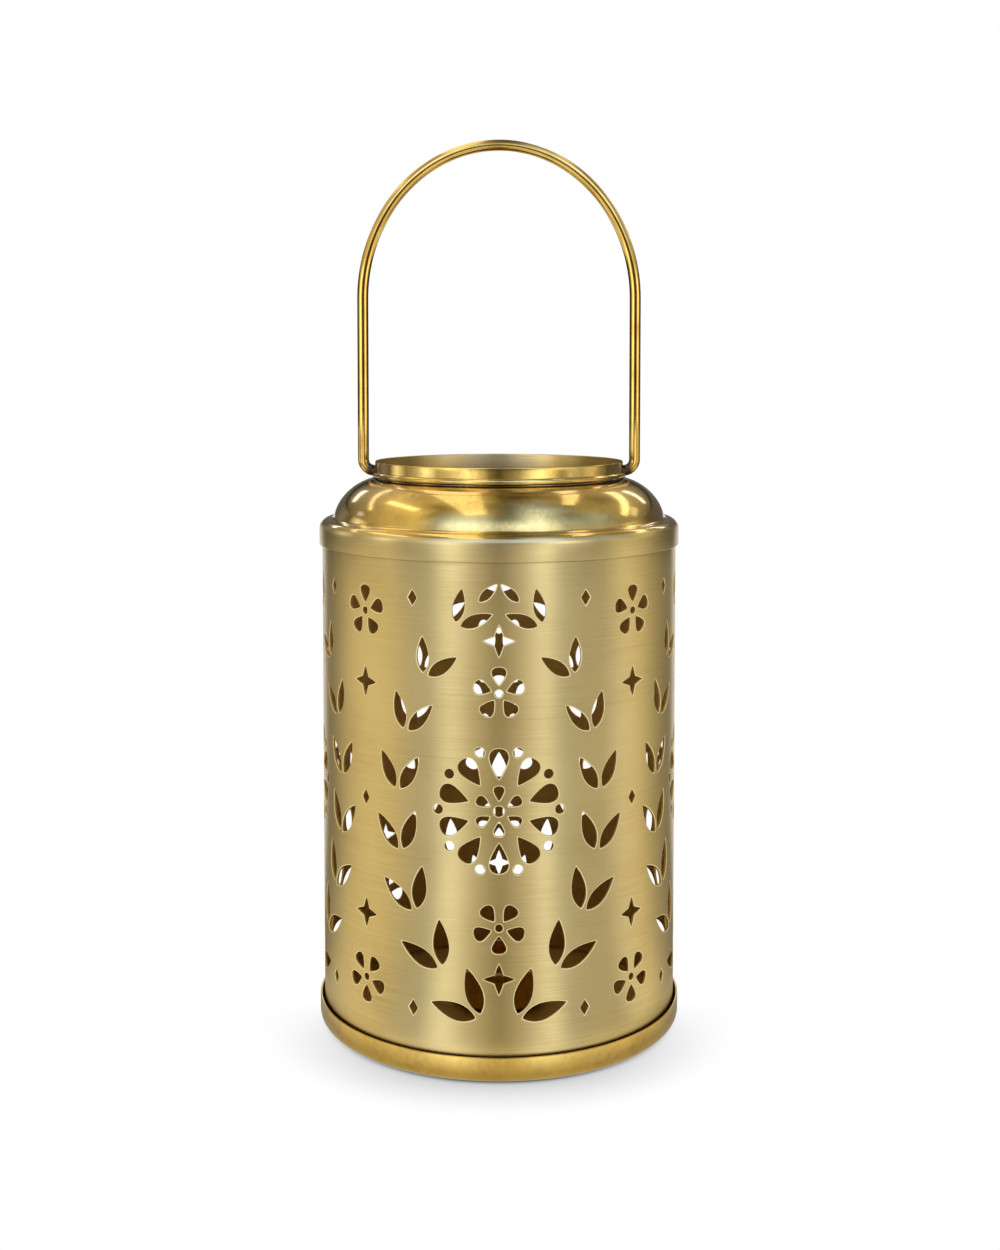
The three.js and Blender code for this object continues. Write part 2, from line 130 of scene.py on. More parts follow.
class LanternBodySizes(bpy.types.PropertyGroup):
    sheet: length("Sheet", "Thickness of the brass sheet of pan, drum, shoulder and neck", 0.9)
    gap: length("Joint gap", "Play between pieces that slide over each other", 0.3)
    edge: length("Edge round", "Round of the sheet's worked edges", 0.3)
    pan_corner: length("Pan corner", "Outer round between the pan's foot and its wall", 3.7)
    pan_foot: length("Pan foot", "Width of the flat ring that the pan stands on", 6.0)
    floor_lift: length("Floor lift", "Height of the pan's raised floor over its foot", 3.0)
    floor_slope: length("Floor slope", "Width of the slope between foot ring and raised floor", 2.2)
    lap: length("Lap", "Width of the flap inside the drum's seam", 9.0)
    skirt_round: length("Skirt round", "Outer round between the shoulder's skirt and its ledge", 4.0)
    ledge: length("Ledge", "Width of the ledge from the skirt to the dome's foot", 5.6)
    ledge_fillet: length("Ledge fillet", "Hollow round between ledge and dome", 1.2)
    dome_arc: length("Dome arc", "Radius of the dome's own curve", 22.6)
    dome_sink: length("Dome sink", "Height of the ledge over the centre of the dome's curve", 5.4)
    neck_tail: length("Neck tail", "Length of the neck below its bead", 1.4)
    bead_height: length("Bead height", "Height of the bead at the neck's foot", 2.6)
    bead_width: length("Bead width", "How far the bead stands off the neck", 1.3)
    eye_play: length("Eye play", "Play of the bail's wire in its eyes", 0.3)


class LanternCupSizes(bpy.types.PropertyGroup):
    sheet: length("Cup sheet", "Thickness of the cup's sheet", 0.8)
    corner: length("Cup corner", "Outer round between the cup's wall and its floor", 2.4)
    lip: length("Cup lip", "How far the cup's rolled rim stands out", 0.9)
    dimple: length("Cup dimple", "Depth of the dimple that takes the rivet's head", 1.5)
    play: length("Dimple play", "Play between the dimple and the rivet's head", 0.8)
    shank: length("Rivet shank", "Radius of the rivet's shank", 1.6)
    head: length("Rivet head", "Height of the rivet's head", 1.3)


class LanternBailSizes(bpy.types.PropertyGroup):
    wire: length("Wire radius", "Radius of the bail's wire", 2.35)
    bend: length("Bend radius", "Radius of the bend at the foot of each leg", 4.6)
    standoff: length("Stand-off", "Room between the neck and the bend", 0.5)
    leg: length("Leg", "Height of the straight leg over the pivot", 72.7)
    tip: length("Tip", "Length of wire inside the neck", 2.2)
    head: length("Head", "Length of the hammered head", 1.3)


class LanternOrnamentSizes(bpy.types.PropertyGroup):
    panels: IntProperty(name="Panels", description="Number of panels round the drum", default=4, min=1)
    seam_panel: IntProperty(name="Seam panel", default=1, min=0,
                            description="The border after this panel is left out for the seam")
    margin: length("Field margin", "Room over and under the ovals", 8.4)
    border: length("Border", "Width between two ovals", 33.8)
    medallion_margin: length("Medallion margin", "Room between medallion and oval", 16.0)
    leaf_step: length("Leaf step", "Distance between pairs of leaves", 21.5)
    leaf_length: length("Leaf length", "Length of the largest leaf", 18.5)
    leaf_width: length("Leaf width", "Width of the largest leaf", 7.4)
    rib: length("Rib", "Width of the rib between the leaves of a pair", 2.6)
    blossom: length("Blossom", "Radius of a blossom", 10.2)
    star: length("Star", "Radius of a four-pointed star", 6.0)
    diamond: length("Diamond", "Half the height of a diamond", 3.0)
    tip: length("Tip round", "How far the cutter rounds a pointed tip", 0.35)
    # The rim is bright partly from its burnished metal and partly from the painted highlight in its colour
    rim: length("Cut rim", "Width of the bright rim that the cutter leaves round each hole", 0.36)
    rim_drop: length("Rim drop", "How far the bright rim slopes down to the hole", 0.13)


class LanternColours(bpy.types.PropertyGroup):
    brushed: colour("Brushed brass", "The drum's lighter brass", 0xD6BE82)
    brushed_dark: colour("Brushed brass, dark", "The patina left between the drum's brush lines", 0xBFA468)
    spun: colour("Spun brass", "The polished brass of shoulder, neck, pan and cup", 0xDDB95E)
    spun_dark: colour("Spun brass, dark", "The patina left in the spinning marks", 0xA88236)
    drawn: colour("Drawn brass", "The wire's polished brass", 0xDDB458)
    drawn_dark: colour("Drawn brass, dark", "The wire's patina", 0xB0862E)
    # The colour of the painted shade in joints and corners and at the wire's ends, which stands also for
    # their patina
    shade_and_patina: colour("Corner patina", "The dark patina in joints and corners", 0x3E2C12)
    # Pale partly as burnished brass and partly as a painted highlight of each hole's cut edge
    rim: colour("Cut rim", "The bright burnished rim of each hole", 0xF8E6AE)
    dull: colour("Dull brass", "The unpolished inside of the sheet", 0xC79C48)
    dull_dark: colour("Dull brass, dark", "Soot and tarnish inside", 0x94712C)


class Millimetres:
    """Reads the lengths of a group in millimetres, in which the outlines are drawn."""

    def __init__(self, group):
        self.group = group

    def __getattr__(self, name):
        return getattr(self.group, name) / MM


def body_sizes():
    return Millimetres(bpy.context.scene.lantern_body)


def cup_sizes():
    return Millimetres(bpy.context.scene.lantern_cup)


def bail_sizes():
    return Millimetres(bpy.context.scene.lantern_bail)


def ornament_sizes():
    return Millimetres(bpy.context.scene.lantern_ornament)


# Materials

MIX_FIRST, MIX_SECOND = 6, 7
# From this much under its limit of openness, a corner's painted shade is wholly dark
CORNER_SHADE_FADE = 0.4


def add_node(tree, kind, inputs=None, **settings):
    """Adds a node with its settings. An input is a value, a socket, or a node, of which the first live
    output is taken."""
    node = tree.nodes.new(kind)
    for name, value in settings.items():
        setattr(node, name, value)
    for name, value in (inputs or {}).items():
        if isinstance(value, bpy.types.Node):
            value = next(output for output in value.outputs if output.enabled)
        if isinstance(value, bpy.types.NodeSocket):
            tree.links.new(value, node.inputs[name])
        else:
            node.inputs[name].default_value = value
    return node


def new_material(name):
    material = bpy.data.materials.new(name)
    material.use_nodes = True
    material.node_tree.nodes.clear()
    return material


def turning_marks(tree, along, across):
    """Fine lines round the Z axis, each about so many metres long, with so much room from line to line."""
    place = add_node(tree, "ShaderNodeTexCoord").outputs["Object"]
    flat = add_node(tree, "ShaderNodeMapping", {"Vector": place, "Scale": (1 / across, 1 / across, 0)})
    radius = add_node(tree, "ShaderNodeVectorMath", {0: flat}, operation="LENGTH").outputs["Value"]
    drawn = add_node(tree, "ShaderNodeMapping",
                     {"Vector": place, "Scale": (1 / along, 1 / along, 1 / across)})
    return add_node(tree, "ShaderNodeTexNoise",
                    {"Vector": drawn, "W": radius, "Scale": 1.0, "Detail": 3.0, "Roughness": 0.6},
                    noise_dimensions="4D")


def clouds(tree, grain, detail=4.0):
    """A soft mottle whose patches are about one grain, in metres, across."""
    place = add_node(tree, "ShaderNodeTexCoord").outputs["Object"]
    return add_node(tree, "ShaderNodeTexNoise",
                    {"Vector": place, "Scale": 1 / grain, "Detail": detail, "Roughness": 0.55})


def corner_shade_and_patina(tree, base, colours, reach, openness_from=0.75):
    """Darkens a metal within so many metres of a joint or corner with painted shade, which stands also for
    the patina left where the polisher's wheel doesn't reach. It starts where the open share of the sky over
    the surface falls under a limit."""
    openness = add_node(tree, "ShaderNodeAmbientOcclusion", {"Distance": reach}, samples=8)
    share = add_node(tree, "ShaderNodeMapRange",
                     {"Value": openness.outputs["AO"],
                      "From Min": openness_from, "From Max": openness_from - CORNER_SHADE_FADE})
    return add_node(tree, "ShaderNodeMix", {"Factor": share, MIX_FIRST: base, MIX_SECOND: colours.shade_and_patina},
                    data_type="RGBA")


def finish_metal(tree, base, roughness, normal, anisotropic=0.0, lacquer=0.0, metallic=1.0):
    """Closes a metal's nodes with its shader and output."""
    inputs = {"Base Color": base, "Metallic": metallic, "Roughness": roughness, "Normal": normal,
              "Anisotropic": anisotropic, "Anisotropic Rotation": 0.25, "Coat Weight": lacquer,
              "Coat Roughness": 0.12}
    if anisotropic:
        inputs["Tangent"] = add_node(tree, "ShaderNodeTangent", direction_type="RADIAL", axis="Z")
    shader = add_node(tree, "ShaderNodeBsdfPrincipled", inputs)
    add_node(tree, "ShaderNodeOutputMaterial", {"Surface": shader})


def brushed_brass(colours):
    """Rolled brass sheet, brushed round the drum with a fine abrasive belt and tinted by a thin antique
    shade_and_patina: satin, with highlights that stay narrow across the drum and run up and down it."""
    material = new_material("brushed_antique_brass")
    tree = material.node_tree
    lines = turning_marks(tree, 28 * MM, 0.45 * MM)
    patches = clouds(tree, 34 * MM)
    line_share = add_node(tree, "ShaderNodeMapRange", {"Value": lines, "From Min": 0.3, "From Max": 0.7})
    patch_share = add_node(tree, "ShaderNodeMapRange",
                           {"Value": patches, "From Min": 0.35, "From Max": 0.75})
    share = add_node(tree, "ShaderNodeMath", {0: line_share, 1: patch_share}, operation="MULTIPLY")
    base = add_node(tree, "ShaderNodeMix",
                    {"Factor": share, MIX_FIRST: colours.brushed, MIX_SECOND: colours.brushed_dark},
                    data_type="RGBA")
    roughness = add_node(tree, "ShaderNodeMapRange",
                         {"Value": lines, "From Min": 0.3, "From Max": 0.7, "To Min": 0.27, "To Max": 0.36})
    normal = add_node(tree, "ShaderNodeBump", {"Height": lines, "Strength": 0.25, "Distance": 0.03 * MM})
    # Painted shade in joints and corners, which stands also for the patina there
    base = corner_shade_and_patina(tree, base, colours, 3.5 * MM)
    finish_metal(tree, base, roughness, normal, anisotropic=0.55)
    return material


def spun_brass(colours, name="spun_polished_brass", openness_from=0.7):
    """Brass sheet spun over a form on a lathe, half polished and lacquered: deeper in colour and glossier
    than the drum, with faint turning marks and a fine mottle of patina."""
    material = new_material(name)
    tree = material.node_tree
    lines = turning_marks(tree, 45 * MM, 0.5 * MM)
    mottle = clouds(tree, 2.2 * MM, detail=5.0)
    patches = clouds(tree, 16 * MM)
    patch_share = add_node(tree, "ShaderNodeMapRange",
                           {"Value": patches, "From Min": 0.35, "From Max": 0.75})
    mottle_share = add_node(tree, "ShaderNodeMapRange",
                            {"Value": mottle, "From Min": 0.3, "From Max": 0.75})
    share = add_node(tree, "ShaderNodeMath", {0: patch_share, 1: mottle_share}, operation="MULTIPLY")
    base = add_node(tree, "ShaderNodeMix",
                    {"Factor": share, MIX_FIRST: colours.spun, MIX_SECOND: colours.spun_dark},
                    data_type="RGBA")
    roughness = add_node(tree, "ShaderNodeMapRange",
                         {"Value": mottle, "From Min": 0.3, "From Max": 0.75,
                          "To Min": 0.09, "To Max": 0.17})
    normal = add_node(tree, "ShaderNodeBump", {"Height": lines, "Strength": 0.12, "Distance": 0.03 * MM})
    # Painted shade in joints and corners, which stands also for the patina there
    base = corner_shade_and_patina(tree, base, colours, 2.2 * MM, openness_from)
    finish_metal(tree, base, roughness, normal, anisotropic=0.35, lacquer=0.7)
    return material


def spun_brass_less_shade(colours):
    """The same on the pan, with less painted shade in its corners, which keeps the bright line along its rim.
    """
    return spun_brass(colours, "spun_brass_less_painted_shade", 0.42)


def wire_end_shade_and_patina(tree):
    """The share of painted shade, which stands also for patina, on the wire: all at the bent ends beside the
    neck, none further out or up.
    """
    size = bail_sizes()
    leg = neck_radius(body_sizes()) + size.standoff + size.bend
    place = add_node(tree, "ShaderNodeTexCoord").outputs["Object"]
    parts = add_node(tree, "ShaderNodeSeparateXYZ", {"Vector": place})
    out = add_node(tree, "ShaderNodeMath", {0: parts.outputs["X"]}, operation="ABSOLUTE")
    inward = add_node(tree, "ShaderNodeMapRange",
                      {"Value": out, "From Min": leg * MM, "From Max": (leg - size.wire) * MM})
    lower = add_node(tree, "ShaderNodeMapRange",
                     {"Value": parts.outputs["Z"],
                      "From Min": (PIVOT.z + END_SHADE_NIL) * MM,
                      "From Max": (PIVOT.z + END_SHADE_FULL) * MM})
    return add_node(tree, "ShaderNodeMath", {0: inward, 1: lower}, operation="MULTIPLY")


def drawn_brass(colours):
    """Brass wire drawn through a die, bent cold, polished and thinly lacquered: glossy, a little darker in
    soft patches, and dark at its ends with painted shade that stands also for their patina."""
    material = new_material("drawn_brass_wire")
    tree = material.node_tree
    mottle = clouds(tree, 1.6 * MM)
    patches = clouds(tree, 14 * MM)
    patch_share = add_node(tree, "ShaderNodeMapRange",
                           {"Value": patches, "From Min": 0.45, "From Max": 0.8})
    base = add_node(tree, "ShaderNodeMix",
                    {"Factor": patch_share, MIX_FIRST: colours.drawn, MIX_SECOND: colours.drawn_dark},
                    data_type="RGBA")
    roughness = add_node(tree, "ShaderNodeMapRange",
                         {"Value": mottle, "From Min": 0.3, "From Max": 0.7,
                          "To Min": 0.11, "To Max": 0.17})
    normal = add_node(tree, "ShaderNodeBump",
                      {"Height": mottle, "Strength": 0.04, "Distance": 0.03 * MM})
    # Painted shade at the wire's ends beside the neck, which stands also for their patina
    base = add_node(tree, "ShaderNodeMix",
                    {"Factor": wire_end_shade_and_patina(tree), MIX_FIRST: base, MIX_SECOND: colours.shade_and_patina},
                    data_type="RGBA")
    finish_metal(tree, base, roughness, normal, lacquer=0.4)
    return material


def cut_rim_painted_highlight(colours):
    """The rim of each hole, pale partly as brass burnished where the cutter took the patina off and partly as
    a painted highlight of the cut edge: bright and even.
    """
    material = new_material("cut_rim_with_painted_highlight")
    tree = material.node_tree
    grain = clouds(tree, 0.8 * MM)
    roughness = add_node(tree, "ShaderNodeMapRange",
                         {"Value": grain, "From Min": 0.3, "From Max": 0.7, "To Min": 0.45, "To Max": 0.6})
    normal = add_node(tree, "ShaderNodeBump", {"Height": grain, "Strength": 0.1, "Distance": 0.02 * MM})
    finish_metal(tree, colours.rim, roughness, normal)
    return material


def dull_brass(colours):
    """The inside of the sheet, which nobody polished: matt, brown with tarnish and a little soot."""
    material = new_material("dull_inner_brass")
    tree = material.node_tree
    patches = clouds(tree, 12 * MM)
    base = add_node(tree, "ShaderNodeMix",
                    {"Factor": patches, MIX_FIRST: colours.dull, MIX_SECOND: colours.dull_dark},
                    data_type="RGBA")
    roughness = add_node(tree, "ShaderNodeMapRange",
                         {"Value": patches, "From Min": 0.3, "From Max": 0.7, "To Min": 0.4, "To Max": 0.6})
    normal = add_node(tree, "ShaderNodeBump", {"Height": patches, "Strength": 0.2, "Distance": 0.05 * MM})
    finish_metal(tree, base, roughness, normal, metallic=0.55)
    return material


FINISHES = {}


def finish(name):
    """A finish by its function's name, made once."""
    if name not in FINISHES:
        maker = {"brushed": brushed_brass, "spun": spun_brass, "less_shade": spun_brass_less_shade, "drawn": drawn_brass,
                 "rim": cut_rim_painted_highlight, "dull": dull_brass}[name]
        FINISHES[name] = maker(bpy.context.scene.lantern_colours)
    return FINISHES[name]


# Shapes

def arc(centre, radius, start, end, steps):
    """Points of an arc, with angles in degrees from the outward direction."""
    angles = [radians(start + (end - start) * i / steps) for i in range(steps + 1)]
    return [(centre[0] + radius * cos(a), centre[1] + radius * sin(a)) for a in angles]


def spin_outline(outline, rounds=None, steps=SPIN_STEPS):
    """Turns a closed outline of (radius, height) points about the Z axis. Rounds gives a radius for corners,
    by their number in the outline."""
    bm = bmesh.new()
    corners = [bm.verts.new((radius, 0, height)) for radius, height in outline]
    for pair in zip(corners, corners[1:] + corners[:1]):
        bm.edges.new(pair)
    for number, radius in (rounds or {}).items():
        bmesh.ops.bevel(bm, geom=[corners[number]], offset=radius, offset_type="OFFSET", segments=4,
                        profile=0.5, affect="VERTICES", material=-1)
    bmesh.ops.spin(bm, geom=bm.verts[:] + bm.edges[:], cent=(0, 0, 0), axis=(0, 0, 1), angle=tau,
                   steps=steps, use_merge=True)
    bmesh.ops.remove_doubles(bm, verts=bm.verts[:], dist=0.0001)
    on_axis = [edge for edge in bm.edges if not edge.link_faces]
    bmesh.ops.delete(bm, geom=on_axis, context="EDGES")
    bmesh.ops.recalc_face_normals(bm, faces=bm.faces[:])
    return bm


def paint(bm, number, test):
    """Gives the faces that pass a test, on their centre and normal, a material by its number."""
    for face in bm.faces:
        if test(face.calc_center_median(), face.normal):
            face.material_index = number


def faces_axis(centre, normal):
    """True where a face looks towards the lantern's axis."""
    return centre.x * normal.x + centre.y * normal.y < 0


def mesh_of(bm, name):
    """Turns a bmesh into a mesh and frees it."""
    mesh = bpy.data.meshes.new(name)
    bm.to_mesh(mesh)
    bm.free()
    return mesh


def add_part(whole, part):
    """Adds a bmesh to another and frees it."""
    mesh = mesh_of(part, "part")
    whole.from_mesh(mesh)
    bpy.data.meshes.remove(mesh)


def add_object(name, data):
    """Adds an object to the scene for its mesh, curve, lamp or camera."""
    added = bpy.data.objects.new(name, data)
    bpy.context.scene.collection.objects.link(added)
    return added


def curve_bmesh(curve):
    """Turns a curve into a bmesh, with its doubles merged."""
    carrier = add_object("curve", curve)
    depsgraph = bpy.context.evaluated_depsgraph_get()
    mesh = bpy.data.meshes.new_from_object(carrier.evaluated_get(depsgraph))
    bpy.data.objects.remove(carrier)
    bm = bmesh.new()
    bm.from_mesh(mesh)
    bpy.data.meshes.remove(mesh)
    bmesh.ops.remove_doubles(bm, verts=bm.verts[:], dist=0.001)
    return bm


def finish_piece(bm, name, node, finishes, sharp=35):
    """Makes a bmesh in millimetres an object that stands for a CAD node. Its faces are smooth, and its edges
    are sharp from so many degrees."""
    bmesh.ops.scale(bm, verts=bm.verts[:], vec=(MM, MM, MM))
    for face in bm.faces:
        face.smooth = True
    for edge in bm.edges:
        edge.smooth = edge.calc_face_angle(0) < radians(sharp)
    mesh = mesh_of(bm, name)
    for finish_name in finishes:
        mesh.materials.append(finish(finish_name))
    piece = add_object(name, mesh)
    body = next(body for body, nodes in frame["record"]["behaviour"]["bodies"].items() if node in nodes)
    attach(piece, body)
    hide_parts(node)
    return piece


# Spun pieces

def pan_mesh(size):
    wall = PAN_TOP.x
    corner = wall - size.pan_corner
    foot = corner - size.pan_foot
    rise = foot - size.floor_slope
    deck = size.floor_lift + size.sheet
    bore = cup_sizes().shank + size.gap
    bend = SLOPE_SHIFT * size.sheet
    outline = [
        (bore, size.floor_lift),
        (rise, size.floor_lift),
        (foot, 0),
        *arc((corner, size.pan_corner), size.pan_corner, -90, 0, 10),
        (wall, PAN_TOP.z),
        (wall - size.sheet, PAN_TOP.z),
        *arc((corner, size.pan_corner), size.pan_corner - size.sheet, 0, -90, 8),
        (foot + bend, size.sheet),
        (rise + bend, deck),
        (bore, deck),
    ]
    rim = 14
    slope = rim + 11
    rounds = {1: FLOOR_BEND, 2: FLOOR_BEND, rim: size.edge, rim + 1: size.edge,
              slope: FLOOR_BEND, slope + 1: FLOOR_BEND}

    def dull(middle, normal):
        return middle.z < deck + 0.1 and normal.z > 0.5 or faces_axis(middle, normal)

    bm = spin_outline(outline, rounds)
    paint(bm, 1, dull)
    return bm


def shoulder_mesh(size):
    skirt = SHOULDER_TOP.x
    ledge_top = DRUM_TOP.z + size.gap + corner_rise(size.skirt_round - size.sheet, size.gap) + size.sheet
    round_centre = (skirt - size.skirt_round, ledge_top - size.skirt_round)
    dome_foot = skirt - size.ledge
    centre = (dome_foot - sqrt(size.dome_arc ** 2 - size.dome_sink ** 2), ledge_top - size.dome_sink)
    lip = neck_radius(size) + size.gap
    inner_arc = size.dome_arc - size.sheet

    def angle_up(sink, radius):
        return degrees(asin((sink + size.ledge_fillet) / radius))

    def angle_in(radius):
        return degrees(acos((lip - centre[0]) / radius))

    outline = [
        (skirt, SHOULDER_FOOT.z),
        *arc(round_centre, size.skirt_round, 0, 90, 10),
        (dome_foot, ledge_top),
        *arc(centre, size.dome_arc, angle_up(size.dome_sink, size.dome_arc), angle_in(size.dome_arc), 28),
        *arc(centre, inner_arc, angle_in(inner_arc), angle_up(size.dome_sink - size.sheet, inner_arc), 20),
        (dome_foot - size.sheet, ledge_top - size.sheet),
        *arc(round_centre, size.skirt_round - size.sheet, 90, 0, 8),
        (skirt - size.sheet, SHOULDER_FOOT.z),
    ]
    last = len(outline) - 1
    ledge_corner = 12
    outer_lip = ledge_corner + 29
    rounds = {0: size.edge, ledge_corner: size.ledge_fillet * 0.9, outer_lip: 0.2, last: size.edge}

    def dull(middle, normal):
        return faces_axis(middle, normal) and normal.z < 0.3

    def brushed(middle, normal):
        return middle.z < ledge_top - BRUSHED_BELOW and not faces_axis(middle, normal)

    bm = spin_outline(outline, rounds)
    paint(bm, 1, dull)
    paint(bm, 2, brushed)
    return bm


def corner_rise(radius, gap):
    """How far over an inside corner a sheet's edge stops when it stands a gap off the wall."""
    return radius - sqrt(radius ** 2 - (radius - gap) ** 2)


def neck_radius(size):
    return NECK_TOP.y - size.bead_width


def neck_mesh(size):
    outer = neck_radius(size)
    inner = outer - size.sheet
    bead_foot = NECK_FOOT.z + size.neck_tail
    half_bead = size.bead_height / 2
    outline = [
        (outer, NECK_FOOT.z),
        *arc((outer, bead_foot + half_bead), half_bead, -90, 90, 12),
        (outer, NECK_TOP.z),
        (inner, NECK_TOP.z),
        (inner, NECK_FOOT.z),
    ]
    top = 14
    bm = spin_outline(outline, {top: size.edge, top + 1: size.edge})
    paint(bm, 1, faces_axis)
    return bm


def drill_eyes(piece, size):
    """Drills the bail's two eyes through neck and bead, and keeps the result as the piece's own mesh."""
    bm = bmesh.new()
    radius = (bail_sizes().wire + size.eye_play) * MM
    bmesh.ops.create_cone(bm, cap_ends=True, segments=64, radius1=radius, radius2=radius,
                          depth=4 * NECK_TOP.x * MM)
    bmesh.ops.rotate(bm, verts=bm.verts[:], matrix=Matrix.Rotation(pi / 2, 3, "Y"))
    bmesh.ops.translate(bm, verts=bm.verts[:], vec=PIVOT * MM)
    drill = add_object("drill", mesh_of(bm, "drill"))
    cut = piece.modifiers.new("eyes", "BOOLEAN")
    cut.operation = "DIFFERENCE"
    cut.solver = "EXACT"
    cut.object = drill
    depsgraph = bpy.context.evaluated_depsgraph_get()
    mesh = bpy.data.meshes.new_from_object(piece.evaluated_get(depsgraph))
    piece.modifiers.clear()
    piece.data = mesh
    bpy.data.objects.remove(drill)


def cup_mesh(size):
    cup = cup_sizes()
    wall = CUP_TOP.x - cup.lip
    corner = wall - cup.corner
    floor_z = CUP_FOOT.z
    under = floor_z + cup.dimple
    rim = CUP_TOP.z
    bore = cup.shank + size.gap
    dimple = RIVET_TOP.x + cup.play
    bend = SLOPE_SHIFT * cup.sheet
    outline = [
        (bore, floor_z),
        (dimple, floor_z),
        (dimple + cup.dimple, under),
        *arc((corner, under + cup.corner), cup.corner, -90, 0, 8),
        (wall, rim - 2 * cup.lip),
        *arc((wall, rim - cup.lip), cup.lip, -60, 90, 8),
        (wall - cup.sheet, rim),
        *arc((corner, under + cup.corner), cup.corner - cup.sheet, 0, -90, 6),
        (dimple + cup.dimple - bend, under + cup.sheet),
        (dimple - bend, floor_z + cup.sheet),
        (bore, floor_z + cup.sheet),
    ]
    rim_corner = 22
    last = len(outline) - 1
    rounds = {1: CUP_BEND, 2: CUP_BEND, rim_corner: size.edge, last - 2: CUP_BEND, last - 1: CUP_BEND}
    return spin_outline(outline, rounds, SMALL_SPIN_STEPS)


def rivet_mesh():
    cup = cup_sizes()
    seat = CUP_FOOT.z + cup.sheet
    under = BURR_FOOT.z
    head = RIVET_TOP.x
    tail = head * TAIL_SHARE
    crown = [(head * cos(a), seat + cup.head * sin(a)) for a in (radians(i * 15) for i in range(1, 7))]
    outline = [
        (0, RIVET_FOOT.z),
        (tail * 0.7, RIVET_FOOT.z),
        (tail, under),
        (cup.shank, under),
        (cup.shank, seat),
        (head, seat),
        *crown,
    ]
    return spin_outline(outline, {1: 0.3}, SMALL_SPIN_STEPS)


def burr_mesh(size):
    bore = cup_sizes().shank + size.gap
    outline = [
        (bore, BURR_FOOT.z),
        (BURR_TOP.x, BURR_FOOT.z),
        (BURR_TOP.x, BURR_TOP.z),
        (bore, BURR_TOP.z),
    ]
    return spin_outline(outline, {1: 0.15, 2: 0.15}, SMALL_SPIN_STEPS)


# The pierced drum
# A hole's outline is a list of smooth points on the flat sheet: each has a place and a handle, which points
# along the outline, anticlockwise. Outlines are drawn from their own start point upwards.

# Where a branch's leaves begin and end, as shares of its arc, with their spread in degrees and their taper
LEAVES_FROM, LEAVES_TO = -0.89, 0.78
LEAF_SPREAD = 29
LEAF_TAPER = 0.3
# The place of the single leaf at a branch's tip, and its size beside the largest
TIP_LEAF_AT = 0.9
TIP_LEAF_SIZE = 0.5


def leaf_outline(length, width, tip):
    return [
        (Vector((0, 0)), Vector((tip, 0))),
        (Vector((width * 0.47, length * 0.42)), Vector((0, length * 0.26))),
        (Vector((0, length)), Vector((-tip, 0))),
        (Vector((-width * 0.47, length * 0.42)), Vector((0, -length * 0.26))),
    ]


def petal_outline(length, width, tip):
    return [
        (Vector((0, 0)), Vector((tip, 0))),
        (Vector((width * 0.5, length * 0.7)), Vector((0, length * 0.2))),
        (Vector((0, length)), Vector((-width * 0.3, 0))),
        (Vector((-width * 0.5, length * 0.7)), Vector((0, -length * 0.2))),
    ]


def star_outline(points, outer, inner, handle, notch_handle=0.0):
    """A star, whose points reach the outer radius and whose notches the inner one."""
    outline = []
    for i in range(2 * points):
        radius, reach = (outer, handle) if i % 2 == 0 else (inner, notch_handle)
        angle = -pi * i / points
        along = Vector((-cos(angle), sin(angle)))
        outline.append((Vector((radius * sin(angle), radius * cos(angle))), reach * along))
    return outline


def dot_outline(radius):
    """A round hole as four points, whose handles have the length that makes a circle of them."""
    return star_outline(2, radius, radius, radius * 0.5523, radius * 0.5523)


def placed(outline, u, v, turn=0.0):
    """Puts an outline in its place on the flat sheet, turned by degrees to the right of up."""
    rotation = Matrix.Rotation(-radians(turn), 2)
    return [(rotation @ place + Vector((u, v)), rotation @ handle) for place, handle in outline]


def ring(count, u, v, start, end, width, tip, first_turn=0.0):
    """Petals round a centre, each starting at one radius and ending at another."""
    outlines = []
    for i in range(count):
        turn = first_turn + 360 * i / count
        angle = radians(turn)
        petal = petal_outline(end - start, width, tip)
        outlines.append(placed(petal, u + start * sin(angle), v + start * cos(angle), turn))
    return outlines


def medallion(u, v, radius, tip):
    """A round flower: a heart, a ring of petals, and dots between their tips."""
    petals = 10
    dot = radius * 0.075
    outlines = [placed(dot_outline(radius * 0.08), u, v)]
    outlines += ring(6, u, v, radius * 0.16, radius * 0.38, radius * 0.16, tip * 0.7)
    outlines += ring(petals, u, v, radius * 0.48, radius * 0.94, radius * 0.29, tip)
    reach = radius - dot
    for i in range(petals):
        angle = tau * (i + 0.5) / petals
        outlines.append(placed(dot_outline(dot), u + reach * sin(angle), v + reach * cos(angle)))
    return outlines


def blossom(u, v, radius, tip, turn=0.0):
    outlines = [placed(dot_outline(radius * 0.15), u, v)]
    return outlines + ring(5, u, v, radius * 0.32, radius, radius * 0.56, tip, turn)


def branch(u, v, side, half_width, half_height, size):
    """Pairs of leaves on an arc of a circle, from a root below to a tip above, smaller towards the tip."""
    radius = (half_width ** 2 + half_height ** 2) / (2 * half_width)
    centre = half_width - radius
    reach = degrees(asin(half_height / radius))
    first, last = LEAVES_FROM * reach, LEAVES_TO * reach
    pairs = floor(radians(last - first) * radius / size.leaf_step) + 1
    leaves = [(first + (last - first) * i / (pairs - 1), sideways * size.rib / 2, sideways * LEAF_SPREAD,
               1 - LEAF_TAPER * i / (pairs - 1)) for i in range(pairs) for sideways in (1, -1)]
    leaves.append((TIP_LEAF_AT * reach, 0, 0, TIP_LEAF_SIZE))
    outlines = []
    for angle, sideways, spread, scale in leaves:
        along = radians(angle)
        leaf = leaf_outline(size.leaf_length * scale, size.leaf_width * scale, size.tip)
        place_u = u + side * (centre + (radius + sideways) * cos(along))
        place_v = v + (radius + sideways) * sin(along)
        outlines.append(placed(leaf, place_u, place_v, side * (spread - angle)))
    return outlines


